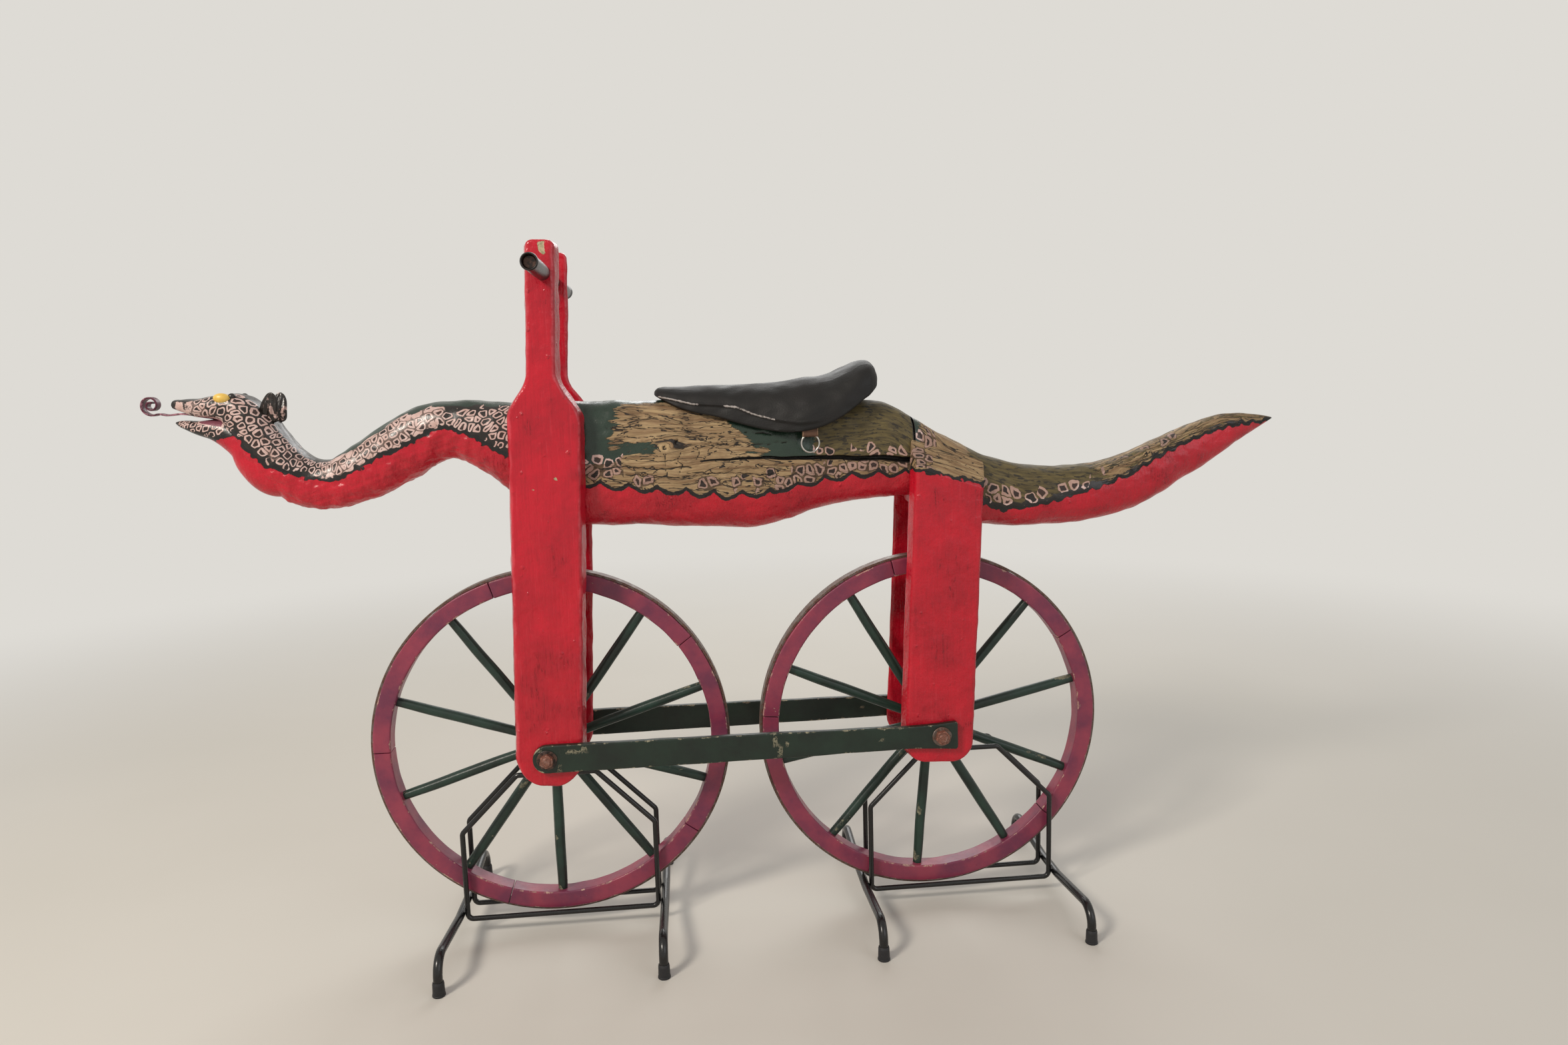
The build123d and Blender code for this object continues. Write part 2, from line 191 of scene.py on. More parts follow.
def swept(table, rows, angle, upright=True):
    """Rounded sections carried along a path in the middle plane. The table holds x, z, half height, half
    width and superellipse power. Sections stand upright or square to the path."""
    table = np.array(table, float)
    length = path_length(table[:, :2])
    at = np.linspace(0, length[-1], rows)
    x, z, high, wide, power = through(length, table, at).T[..., None]
    normal = np.array([[0.0], [1.0]])
    if not upright:
        tangent = unit(np.gradient(np.hstack([x, z]), at, axis=0))
        normal = np.stack([tangent[:, 1:], -tangent[:, :1]])
    across, up = shares(angle, power)
    return stacked(x + up * (high * normal[0]), across * wide, z + up * (high * normal[1])) + datum


def normals(points):
    """Unit normals of a grid that wraps across, from central differences, turned away from its middle."""
    across = np.roll(points, -1, 1) - np.roll(points, 1, 1)
    normal = unit(np.cross(np.gradient(points, axis=0), across), 1e-9)
    out = points - points.mean(axis=1, keepdims=True)
    return normal * np.sign((normal * out).sum())


def raised(points, high):
    """A grid with each point moved along its normal by a height."""
    return points + normals(points) * high[..., None]


def lengths(points):
    """Lengths in a body's grid: along it from its first row, and round it from its top, left negative."""
    steps, steps_round = (np.linalg.norm(np.diff(points, axis=axis), axis=-1) for axis in (0, 1))
    along = np.pad(np.cumsum(steps.mean(1)), (1, 0))[:, None] + np.zeros(points.shape[:2])
    around = np.pad(np.cumsum(steps_round, 1), ((0, 0), (1, 0)))
    top = points[len(points) // 2, :, 2].argmax()
    return along, around - around[:, top:top + 1]


def off_line(points, line):
    """Distance from a line of straight pieces in the side view: that to the nearest point of each piece."""
    x, z = points[..., 0], points[..., 2]
    near = np.full(x.shape, np.inf)
    for (x0, z0), (x1, z1) in zip(line[:-1], line[1:]):
        share = ((x - x0) * (x1 - x0) + (z - z0) * (z1 - z0)) / ((x1 - x0) ** 2 + (z1 - z0) ** 2)
        share = np.clip(share, 0, 1)
        near = np.minimum(near, np.hypot(x - x0 - share * (x1 - x0), z - z0 - share * (z1 - z0)))
    return near


def above(points, line):
    """Signed distance from a line in the side view, positive above it."""
    xs, zs = np.array(line, float).T
    return off_line(points, line) * np.sign(points[..., 2] - np.interp(points[..., 0], xs, zs))


def grid(points, marks=None, wrap_along=False, ends=True):
    """A form from a grid of points that wraps across: a quad between each four neighbours, and a fan over
    each open end. Marks are values at the points, such as the distance from an edge."""
    rows, columns = points.shape[:2]
    index = np.arange(rows * columns).reshape(rows, columns)
    index = np.hstack([index, index[:, :1]])
    if wrap_along:
        index = np.vstack([index, index[:1]])
    quads = np.stack([index[:-1, :-1], index[1:, :-1], index[1:, 1:], index[:-1, 1:]], -1).reshape(-1, 4)
    flat = points.reshape(-1, 3)
    marks = {name: value.reshape(rows * columns, -1) for name, value in (marks or {}).items()}
    fans = [np.zeros((0, 3), int)]
    if ends and not wrap_along:
        for row, order in ((0, 1), (rows - 1, -1)):
            ring = index[row][::order]
            fans.append(np.stack([np.full(columns, len(flat)), ring[:-1], ring[1:]], 1))
            flat = np.vstack([flat, points[row].mean(0)])
            picked = index[row, :columns]
            marks = {name: np.vstack([value, value[picked].mean(0)]) for name, value in marks.items()}
    return outward({"points": flat, "quads": quads, "fans": np.vstack(fans), "marks": marks})


def outward(form):
    """Turns a closed form's faces round if the volume inside them comes out negative."""
    points, quads, fans = form["points"], form["quads"], form["fans"]
    triangles = np.vstack([quads[:, [0, 1, 2]], quads[:, [0, 2, 3]], fans])
    a, b, c = (points[triangles[:, i]] for i in range(3))
    if (a * np.cross(b, c)).sum() < 0:
        form["quads"], form["fans"] = quads[:, ::-1], fans[:, ::-1]
    return form


def joined(forms):
    """Several forms as one, with their marks, which they all have."""
    starts = np.cumsum([0] + [len(form["points"]) for form in forms[:-1]])
    faces = {key: np.vstack([form[key] + start for form, start in zip(forms, starts)])
             for key in ("quads", "fans")}
    marks = {name: np.vstack([form["marks"][name] for form in forms]) for name in forms[0]["marks"]}
    return {"points": np.vstack([form["points"] for form in forms]), **faces, "marks": marks}


def end_round(distance, radius):
    """How far a section draws in near a rounded end: radius less the height of its quarter circle."""
    inside = np.clip(radius - distance, 0, radius)
    return radius - np.sqrt(np.maximum(radius**2 - inside**2, 0))


def spaced(low, high, count, edge):
    """Stations from low to high, even in the middle and closer over the last stretch at each end."""
    rim = edge * (1 - np.cos(np.linspace(0, pi / 2, 6)))
    return np.concatenate([low + rim[:-1], np.linspace(low + edge, high - edge, count), high - rim[-2::-1]])


def plank(half_across, half_out, radius, flats, arc):
    """Sections of a board: rounded rectangles, one for each station. Gives their across and out coordinates
    and each point's distance from the nearest sharp edge that the rounding took off."""
    turn = np.linspace(0, pi / 2, arc + 1)
    corner, side = [], []
    for quarter, steps in enumerate((*flats, *flats)):
        start = quarter * pi / 2
        here, then = (np.array([cos(start + to_corner), sin(start + to_corner)]) * sqrt(2)
                      for to_corner in (pi / 4, 3 * pi / 4))
        share = np.linspace(0, 1, steps + 1)[1:-1, None]
        way = np.stack([np.cos(turn + start), np.sin(turn + start)], 1)
        corner += [np.tile(here, (arc + 1, 1)), here + (then - here) * share]
        side += [way, np.tile(way[-1], (steps - 1, 1))]
    corner, side = np.vstack(corner), np.vstack(side)
    half = np.stack([half_across, half_out], 1)[:, None]
    inset = np.minimum(radius, half.min(-1, keepdims=True))
    spot = corner * (half - inset) + side * inset
    edge = np.hypot(*np.moveaxis(half - np.abs(spot), -1, 0))
    return spot[..., 0], spot[..., 1], edge


def turned(profile, columns=48, closed=False, marks=None):
    """A profile of (radius, height) turned about the Z axis, with its ends closed, or a closed profile."""
    radius, height = np.array(profile, float).T[..., None]
    angle = circle(columns)
    return grid(stacked(radius * np.cos(angle), radius * np.sin(angle), height), marks, wrap_along=closed)


def ball(radius, half_height, steps=14):
    """The profile of a ball or egg, as (radius, height)."""
    angle = np.linspace(0, pi, steps + 2)[1:-1]
    return np.stack([radius * np.sin(angle), -half_height * np.cos(angle)], 1)


def moved(form, turn, place=(0, 0, 0)):
    """A form turned by a 3x3 matrix and then carried to its place."""
    return outward(dict(form, points=form["points"] @ np.array(turn, float).T + np.array(place, float)))


def about_y(angle):
    """The turn about the Y axis that carries straight up towards +X."""
    return np.array([[cos(angle), 0, sin(angle)], [0, 1, 0], [-sin(angle), 0, cos(angle)]])


def z_to_y(side):
    """The turn that lays the Z axis along Y, towards the given side."""
    return np.array([[1, 0, 0], [0, 0, side], [0, -side, 0]])


def wire(path, radius, columns):
    """A round wire along a closed path: circles square to the path, carried along it without twist."""
    ahead = unit(np.roll(path, -1, 0) - np.roll(path, 1, 0))
    side = unit(np.cross(ahead, np.eye(3)[np.ptp(path, axis=0).argmin()]))
    other = np.cross(ahead, side)
    angle = circle(columns)[:, None]
    ring = np.cos(angle) * side[:, None] + np.sin(angle) * other[:, None]
    return grid(path[:, None] + radius * ring, wrap_along=True)


def ribbon(path, across, out):
    """Sections laid square to a path in a plane: their coordinate across it, and the two in its plane."""
    ahead = unit(np.gradient(path, axis=0))
    square = np.stack([-ahead[:, 1], ahead[:, 0]], 1)
    return across, path[:, :1] + square[:, :1] * out, path[:, 1:] + square[:, 1:] * out


def wear(edge, chip=NO_CHIP):
    """The marks that worn paint reads: millimetres from the nearest sharp edge, and into the nearest chip."""
    return {"edge_mm": edge, "chip_mm": chip + np.zeros(edge.shape)}


# Placing a piece

def place(name, forms, material, slot, node=None, body="frame", sharp=38.0):
    """Makes one object of forms, gives it a material, lets it ride on a body and stand for a node."""
    form = joined(forms) if isinstance(forms, list) else forms
    mesh = bpy.data.meshes.new(name)
    mesh.from_pydata((form["points"] * MM).tolist(), [], form["quads"].tolist() + form["fans"].tolist())
    for mark, values in form["marks"].items():
        kind, field = ("FLOAT", "value") if values.shape[1] == 1 else ("FLOAT_VECTOR", "vector")
        mesh.attributes.new(mark, kind, "POINT").data.foreach_set(field, values.ravel().astype(np.float32))
    mesh.shade_smooth()
    mesh.set_sharp_from_angle(angle=radians(sharp))
    mesh.materials.append(material)
    piece = bpy.data.objects.new(name, mesh)
    bpy.context.scene.collection.objects.link(piece)
    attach(piece, body)
    if node:
        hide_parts(node)
    return piece


# Materials

BLEND = {"data_type": "RGBA", "output": 2}
STEP = {"interpolation_type": "SMOOTHSTEP"}


def linear(colour):
    """An sRGB hex colour as linear red, green, blue and alpha."""
    value = np.array([int(colour[i:i + 2], 16) for i in (1, 3, 5)]) / 255
    return (*np.where(value <= 0.04045, value / 12.92, ((value + 0.055) / 1.055) ** 2.4), 1.0)


def add(material, kind, links=None, output=0, **settings):
    """Adds a node with its settings, joins or sets its inputs, and gives the asked output."""
    node = material.node_tree.nodes.new("ShaderNode" + kind)
    for name, value in settings.items():
        setattr(node, name, value)
    for name, value in (links or {}).items():
        if isinstance(value, bpy.types.NodeSocket):
            material.node_tree.links.new(value, node.inputs[name])
        else:
            node.inputs[name].default_value = linear(value) if isinstance(value, str) else value
    return node.outputs[output] if node.outputs else node


def new_material(name):
    """An empty material, and the object's own space in it."""
    material = bpy.data.materials.new(name)
    material.use_nodes = True
    material.node_tree.nodes.clear()
    return material, add(material, "TexCoord", output="Object")


def two_tones(m, pattern, low, high, first, second):
    """One colour that clouds into a second as a pattern rises from low to high."""
    return add(m, "Mix", {0: add(m, "MapRange", {0: pattern, 1: low, 2: high}), 6: first, 7: second}, **BLEND)


def coats(m, colour, *layers):
    """A colour with coats laid over it in turn, each as a share and its own colour."""
    for share, coat in layers:
        colour = add(m, "Mix", {0: share, 6: colour, 7: coat}, **BLEND)
    return colour


def partly(m, pattern, low, high, share):
    """A share that comes in softly as a pattern goes from low to high."""
    return add(m, "Math", {0: add(m, "MapRange", {0: pattern, 1: low, 2: high}, **STEP), 1: share},
               operation="MULTIPLY")


def ragged_edge(m, value, pattern, shift, limits, middle=(0.3, 0.7)):
    """1 past a ragged edge: a value is shifted from one amount to another over a pattern's middle range, and
    eased in between two limits."""
    moved_by = add(m, "MapRange", {0: pattern, 1: middle[0], 2: middle[1], 3: shift[0], 4: shift[1]})
    ragged = add(m, "Math", {0: value, 1: moved_by})
    return add(m, "MapRange", {0: ragged, 1: limits[0], 2: limits[1]}, **STEP)


def thin_lines(m, pattern, outer, inner, share=1.0):
    """Lines where a noise crosses its middle value: eased in from an outer to an inner distance from it."""
    away = add(m, "Math", {0: pattern, 1: 0.5}, operation="SUBTRACT")
    away = add(m, "Math", {0: away}, operation="ABSOLUTE")
    return add(m, "MapRange", {0: away, 1: outer, 2: inner, 4: share}, **STEP)


def drawn_out(m, along, across, long, wide, layer=0.0, **noise):
    """Noise in the surface's own coordinates, its patches so many millimetres long and wide."""
    spot = {"X": add(m, "Math", {0: along, 1: 1 / long}, operation="MULTIPLY"),
            "Y": add(m, "Math", {0: across, 1: 1 / wide}, operation="MULTIPLY"), "Z": layer}
    return add(m, "TexNoise", {"Vector": add(m, "CombineXYZ", spot), "Scale": 1.0, **noise})


def summed(m, *parts, over=None):
    """Patterns, each times its weight, added up, and over a first value if one is given."""
    for pattern, weight in parts:
        if over is None:
            over = add(m, "Math", {0: pattern, 1: weight}, operation="MULTIPLY")
        else:
            over = add(m, "Math", {0: pattern, 1: weight, 2: over}, operation="MULTIPLY_ADD")
    return over


def finished(m, colour, rough, high, strength, **more):
    """Joins a colour, a roughness and a height in millimetres to the shader, and gives the material."""
    bump = add(m, "Bump", {"Strength": strength, "Distance": MM, "Height": high})
    shader = add(m, "BsdfPrincipled", {"Base Color": colour, "Roughness": rough, "Normal": bump, **more})
    add(m, "OutputMaterial", {"Surface": shader})
    return m


def brushed_red(m, where):
    """Hand-brushed red gloss on hewn oak: upright brush strokes 2 to 4 mm wide, blotches, thin drying cracks
    that follow the grain, and small runs and beads. Gives its colour and its height in millimetres."""
    upright, slow = (add(m, "VectorMath", {0: where, 1: stretch}, operation="MULTIPLY")
                     for stretch in ((260, 260, 13), (120, 120, 7)))
    strokes, seam, blotch, lumps = (
        add(m, "TexNoise",
            {"Vector": way, "Scale": scale, "Detail": detail, "Roughness": rough, "Distortion": bend})
        for way, scale, detail, rough, bend in (
            (upright, 1.0, 4.0, 0.62, 0.0), (slow, 1.0, 5.0, 0.6, 0.3), (where, 15.0, 5.0, 0.6, 0.0),
            (where, 55.0, 3.0, 0.5, 0.0)))
    in_blotches = add(m, "MapRange", {0: blotch, 1: 0.56, 2: 0.64}, **STEP)
    seam = add(m, "Math", {0: thin_lines(m, seam, 0.010, 0.003, 0.4), 1: in_blotches}, operation="MULTIPLY")
    dimple = add(m, "TexVoronoi", {"Vector": where, "Scale": 62.0, "Randomness": 1.0})
    bead = partly(m, dimple, 0.30, 0.05, add(m, "MapRange", {0: lumps, 1: 0.56, 2: 0.68}, **STEP))
    colour = coats(m, two_tones(m, blotch, 0.36, 0.66, "#C9112A", "#AF0E25"),
                   (partly(m, strokes, 0.50, 0.80, 0.22), "#7A0B16"),
                   (partly(m, strokes, 0.42, 0.26, 0.16), "#E8505C"), (seam, "#4A070E"))
    return colour, summed(m, (strokes, 0.9), (blotch, 4.0), (lumps, 2.4), (bead, 1.5), (seam, -1.0))


def worn_places(m):
    """Millimetres from the nearest sharp edge and into the nearest chip."""
    return (add(m, "Attribute", output="Fac", attribute_name=name) for name in ("edge_mm", "chip_mm"))


def red_paint():
    """Oil paint on hewn oak, brushed on thick: saturated red gloss, pink along the edges in short lengths,
    partly rubbed wear and partly a painted highlight, with small chips on the arrises that show a cream
    primer."""
    m, where = new_material("red_oil_paint_on_oak")
    colour, high = brushed_red(m, where)
    edge, chip = worn_places(m)
    ragged = add(m, "TexNoise", {"Vector": where, "Scale": 95.0, "Detail": 5.0, "Roughness": 0.62})
    broad = add(m, "TexNoise", {"Vector": where, "Scale": 24.0, "Detail": 2.0})
    shift = add(m, "Math", {0: add(m, "MapRange", {0: ragged, 1: 0.3, 2: 0.7, 3: 1.2, 4: -1.2}),
                            1: add(m, "MapRange", {0: broad, 1: 0.35, 2: 0.65, 3: 1.8, 4: -1.8})})
    # pink along the edges: partly rubbed wear, partly a painted highlight on the arrises
    pale_edge = partly(m, add(m, "Math", {0: edge, 1: shift}), 5.0, 0.0, 0.34)
    nick = add(m, "TexVoronoi", {"Vector": where, "Scale": 85.0, "Randomness": 1.0})
    nick = add(m, "Math", {0: nick, 1: add(m, "Math", {0: edge, 1: 0.055}, operation="MULTIPLY")})
    nick = add(m, "MapRange", {0: nick, 1: 0.15, 2: 0.12}, **STEP)
    chipped = ragged_edge(m, chip, ragged, (-2.0, 2.0), (-0.3, 0.4))
    chipped = add(m, "Math", {0: chipped, 1: nick}, operation="MAXIMUM")
    primer = two_tones(m, ragged, 0.4, 0.6, "#D8C3A0", "#96916B")
    rough = add(m, "MapRange", {0: ragged, 1: 0.2, 2: 0.8, 3: 0.12, 4: 0.30})
    colour = coats(m, colour, (pale_edge, "#EC6672"), (chipped, primer))
    return finished(m, colour, rough, summed(m, (chipped, -0.4), over=high), 0.9, IOR=1.5)


def worn_paint(name, fresh, deep, bare, chip_rate, rough_low, rough_high, film=0.35):
    """Oil paint on a handled piece of wood: two tones that cloud over 60 mm, chips and rubbed edges that show
    what lies under the paint, and fine scratches along the piece."""
    m, where = new_material(name)
    edge, chip = worn_places(m)
    cloud, grit, flake = (
        add(m, "TexNoise", {"Vector": where, "Scale": scale, "Detail": detail, "Roughness": rough})
        for scale, detail, rough in ((17.0, 5.0, 0.6), (140.0, 5.0, 0.65), (48.0, 6.0, 0.7)))
    pale_edge = ragged_edge(m, edge, flake, (4.2, -3.2), (1.5, 0.6))
    spots = add(m, "MapRange", {0: flake, 1: chip_rate, 2: chip_rate + 0.012}, **STEP)
    chipped = ragged_edge(m, chip, grit, (-3.5, 3.5), (-0.4, 0.6))
    gone = add(m, "Math", {0: add(m, "Math", {0: pale_edge, 1: spots}, operation="MAXIMUM"), 1: chipped},
               operation="MAXIMUM")
    colour = coats(m, two_tones(m, cloud, 0.36, 0.66, fresh, deep),
                   (gone, two_tones(m, grit, 0.35, 0.65, bare, deep)))
    rough = add(m, "MapRange", {0: grit, 1: 0.25, 2: 0.75, 3: rough_low, 4: rough_high})
    return finished(m, colour, summed(m, (gone, 0.22), over=rough),
                    summed(m, (gone, -film), (grit, 0.35), (cloud, 1.0)), 0.8, IOR=1.5)


def old_oak(m, where, along, grain):
    """Bare weathered oak: pale tan with darker year lines 2 to 6 mm apart that follow the grain coordinate,
    short dark checks, long drying cracks, and silvery raised fibres. Gives its colour and its height in
    millimetres."""
    broad, fibres, checks, split = (
        drawn_out(m, along, grain, long, wide, layer, Detail=detail, Roughness=rough, Distortion=bend)
        for long, wide, layer, detail, rough, bend in (
            (85, 7.0, 0.0, 8.0, 0.66, 0.4), (40, 2.2, 0.0, 3.0, 0.6, 0.0), (42, 4.4, 9.1, 3.0, 0.6, 0.0),
            (60, 15, 3.7, 3.0, 0.6, 0.7)))
    stain = add(m, "TexNoise", {"Vector": where, "Scale": 19.0, "Detail": 4.0, "Roughness": 0.6})
    checks = add(m, "Math", {0: add(m, "MapRange", {0: checks, 1: 0.65, 2: 0.71}, **STEP),
                             1: add(m, "MapRange", {0: stain, 1: 0.44, 2: 0.56, 3: 0.12}, **STEP)},
                 operation="MULTIPLY")
    crack = add(m, "Math", {0: thin_lines(m, split, 0.018, 0.008), 1: checks}, operation="MAXIMUM")
    stained = add(m, "MapRange", {0: stain, 1: 0.50, 2: 0.68, 4: 0.5}, **STEP)
    colour = coats(m, two_tones(m, broad, 0.36, 0.64, "#BFA37A", "#846647"),
                   (partly(m, fibres, 0.52, 0.72, 0.4), "#553F2A"),
                   (partly(m, fibres, 0.42, 0.30, 0.4), "#DBC6A2"), (stained, "#5E432B"), (crack, "#1E1510"))
    return colour, summed(m, (broad, 5.0), (fibres, -0.9), (crack, -1.6))


def painted_skin():
    """Carved oak with a painted snake skin, over a hundred years old: dark ground with rings of pinkish cream
    about 15 mm across, green and olive on the back, a black scalloped border, a red gloss belly, and bare
    grey-tan wood where the paint has gone. The places of all these come with the surface as attributes."""
    m, where = new_material("painted_oak_skin")
    (along, around, edge), (rings, cream, bare), (green, olive, grain), (room_under, room_over, _) = (
        add(m, "SeparateXYZ", {0: add(m, "Attribute", output="Vector", attribute_name=name)}).node.outputs
        for name in ("skin_place", "skin_paint", "skin_ground", "ring_room"))
    split = add(m, "Attribute", output="Fac", attribute_name="skin_split")

    # noises shared by the layers, 4 to 60 mm
    fine, middle, cloud = (
        add(m, "TexNoise", {"Vector": where, "Scale": scale, "Detail": 4.0, "Roughness": rough})
        for scale, rough in ((260.0, 0.6), (85.0, 0.6), (22.0, 0.55)))
    drawn = drawn_out(m, along, grain, 30, 4.5, Detail=7.0, Roughness=0.68)

    # rings: cells of a Voronoi pattern 15 mm wide, their edges bent by noise
    bend = add(m, "TexNoise", {"Vector": where, "Scale": 60.0, "Detail": 2.0}, output="Color")
    bend = add(m, "VectorMath", {0: bend, 1: (0.5, 0.5, 0.5)}, operation="SUBTRACT")
    flat = add(m, "CombineXYZ", {"X": along, "Y": around})
    flat = add(m, "VectorMath", {0: bend, 1: (9.0, 9.0, 0.0), 2: flat}, operation="MULTIPLY_ADD")
    cell = {"Vector": flat, "Scale": 1 / 15.5, "Randomness": 0.66}
    inside = add(m, "TexVoronoi", cell, voronoi_dimensions="2D", feature="DISTANCE_TO_EDGE")
    away, lot, heart_at = (add(m, "TexVoronoi", cell, output=output, voronoi_dimensions="2D")
                           for output in ("Distance", "Color", "Position"))
    corner = add(m, "MapRange", {0: away, 1: 0.36, 2: 0.94, 3: 0.0, 4: 0.30})
    inside = add(m, "Math", {0: inside, 1: corner}, operation="SUBTRACT")
    (lot_a, lot_b, _), heart_at, spot = (add(m, "SeparateXYZ", {0: value}).node.outputs
                                         for value in (lot, heart_at, flat))

    # a ring is painted whole or not at all: its middle has to keep clear of the border and of the back
    lower = add(m, "Math", {0: add(m, "Math", {0: heart_at[1]}, operation="ABSOLUTE"),
                            1: add(m, "Math", {0: spot[1]}, operation="ABSOLUTE")}, operation="SUBTRACT")
    fits = add(m, "Math", {0: add(m, "Math", {0: room_under, 1: lower}, operation="SUBTRACT"),
                           1: add(m, "Math", {0: room_over, 1: lower})}, operation="MINIMUM")
    fits = add(m, "Math", {0: fits, 1: 6.0}, operation="GREATER_THAN")
    painted = add(m, "Math", {0: add(m, "Math", {0: lot_a, 1: rings}, operation="LESS_THAN"), 1: fits},
                  operation="MULTIPLY")
    gap = add(m, "MapRange", {0: inside, 1: 0.025, 2: 0.06}, **STEP)
    inner = add(m, "MapRange", {0: lot_b, 3: 0.22, 4: 0.29})
    core = add(m, "MapRange", {0: inside, 1: inner, 2: add(m, "Math", {0: inner, 1: 0.045})}, **STEP)
    core = add(m, "Math", {0: core, 1: painted}, operation="MULTIPLY")
    ring = add(m, "Math", {0: gap, 1: painted}, operation="MULTIPLY")
    ring = add(m, "Math", {0: add(m, "Math", {0: ring, 1: core}, operation="SUBTRACT"), 1: 0.0},
               operation="MAXIMUM")

    # ground paints, and bare wood where the flaking noise is over the paint's hold
    pale = two_tones(m, middle, 0.35, 0.65, "#E0C4BE", "#C8A69D")
    fade = ragged_edge(m, cream, middle, (-0.35, 0.35), (0.42, 0.58))
    mauve = ragged_edge(m, cream, middle, (-0.3, 0.3), (1.4, 1.6))
    leaf = ragged_edge(m, green, drawn, (-0.3, 0.3), (0.45, 0.55))
    moss = ragged_edge(m, olive, drawn, (0.28, -0.28), (0.45, 0.55))
    dash = partly(m, drawn_out(m, along, around, 13, 4.5, Detail=3.0, Roughness=0.55), 0.55, 0.60, 0.8)
    moss_paint = coats(m, two_tones(m, drawn, 0.35, 0.65, "#70623A", "#372E1C"), (dash, "#17130E"))
    oak, oak_high = old_oak(m, where, along, grain)
    gone = ragged_edge(m, bare, drawn, (-0.42, 0.42), (0.47, 0.53), (0.25, 0.75))
    colour = coats(m, coats(m, "#15110F", (cloud, "#2B231E")), (fade, pale), (mauve, "#84505C"),
                   (leaf, coats(m, "#1A2A22", (cloud, "#2D4034"))), (moss, moss_paint), (gone, oak))

    # rings over all of it, then cracks, the border and the belly
    worn, over_pale, over_moss = (add(m, "Math", {0: ground, 1: share}, operation="MULTIPLY")
                                  for ground, share in ((gone, 0.8), (fade, 0.85), (moss, 0.7)))
    drawn_over, dulled = (add(m, "Math", {0: worn, 1: ground}, operation="MAXIMUM")
                          for ground in (over_pale, over_moss))
    outline = add(m, "Math", {0: partly(m, inside, 0.08, 0.02, painted), 1: drawn_over}, operation="MULTIPLY")
    # near black in the cracks and knots, and painted shade on the saw cut's faces
    deep = add(m, "MapRange", {0: split, 1: 0.25, 2: 0.7}, **STEP)
    line = add(m, "Math", {0: edge, 1: add(m, "MapRange", {0: middle, 1: 0.3, 2: 0.7, 3: -1.6, 4: 1.6})})
    rim = add(m, "MapRange", {0: line, 1: 4.6, 2: 3.6}, **STEP)
    belly = add(m, "MapRange", {0: line, 1: -2.3, 2: -3.1}, **STEP)
    red, red_high = brushed_red(m, where)
    ring_paint, heart = coats(m, pale, (dulled, "#AC8878")), coats(m, "#1B1412", (lot_b, "#3A2620"))
    colour = coats(m, colour, (outline, "#3A291D"), (ring, ring_paint), (core, heart), (deep, "#15100C"),
                   (rim, "#120F0E"), (belly, red))

    # relief: wood under a paint film 0.55 mm thick, raised rings, and the brushed belly
    high = add(m, "Math", {0: gone, 1: add(m, "Math", {0: oak_high, 1: 0.55}, operation="SUBTRACT")},
               operation="MULTIPLY")
    high = summed(m, (ring, 0.45), (middle, 0.8), (fine, 0.25), over=high)
    high = add(m, "Mix", {0: belly, 2: high, 3: red_high}, data_type="FLOAT")
    dry = add(m, "Math", {0: add(m, "Math", {0: gone, 1: moss}, operation="MAXIMUM"),
                          1: add(m, "Math", {0: 1.0, 1: belly}, operation="SUBTRACT")}, operation="MULTIPLY")
    rough = add(m, "MapRange", {0: middle, 1: 0.3, 2: 0.7, 3: 0.19, 4: 0.36})
    return finished(m, colour, summed(m, (dry, 0.34), over=rough), high, 0.9, IOR=1.5)


def smooth_leather(name, fresh, greyed, pale_edge, rough_low, rough_high):
    """Old vegetable-tanned leather, blacked and waxed: grain 1.5 mm drawn a little coarse, long creases, and
    a pale line near the edge marks, which is rubbed wear on the tabs and a painted highlight along the
    saddle's lap."""
    m, where = new_material(name)
    edge = add(m, "Attribute", output="Fac", attribute_name="edge_mm")
    grain = add(m, "TexVoronoi", {"Vector": where, "Scale": 480.0}, feature="SMOOTH_F1")
    stretched = add(m, "VectorMath", {0: where, 1: (9, 30, 45)}, operation="MULTIPLY")
    crease, cloud, grit = (
        add(m, "TexNoise", {"Vector": way, "Scale": scale, "Detail": detail, "Roughness": 0.6})
        for way, scale, detail in ((stretched, 1.0, 6.0), (where, 26.0, 5.0), (where, 170.0, 4.0)))
    # the pale line: rubbed wear on the tabs, a painted highlight along the saddle's lap
    worn = ragged_edge(m, edge, grit, (0.7, -0.5), (1.5, 0.5))
    worn = add(m, "Math", {0: worn, 1: 0.8}, operation="MULTIPLY")
    colour = coats(m, two_tones(m, cloud, 0.35, 0.7, fresh, greyed), (worn, pale_edge))
    rough = add(m, "MapRange", {0: cloud, 1: 0.3, 2: 0.7, 3: rough_low, 4: rough_high})
    return finished(m, colour, rough, summed(m, (grain, 0.22), (crease, 1.6), (grit, 0.2)), 0.7, IOR=1.42)


def iron(name, bare, rust, rust_share, metallic, rough_low, rough_high, pits):
    """Forged or drawn iron, left bare or thinly blacked: grey-brown metal with rust that gathers in patches
    10 to 20 mm wide and pits the surface."""
    m, where = new_material(name)
    patch, pit = (add(m, "TexNoise", {"Vector": where, "Scale": scale, "Detail": detail, "Roughness": 0.7})
                  for scale, detail in ((75.0, 7.0), (520.0, 4.0)))
    eaten = add(m, "MapRange", {0: patch, 1: 0.62 - rust_share * 0.3, 2: 0.70 - rust_share * 0.3}, **STEP)
    colour = coats(m, bare, (eaten, two_tones(m, pit, 0.35, 0.65, rust, "#452A20")))
    shine = add(m, "MapRange", {0: eaten, 3: metallic, 4: metallic * 0.25})
    rough = add(m, "MapRange", {0: patch, 1: 0.3, 2: 0.7, 3: rough_low, 4: rough_high})
    return finished(m, colour, rough, summed(m, (pit, pits), (patch, pits)), 0.7, Metallic=shine)


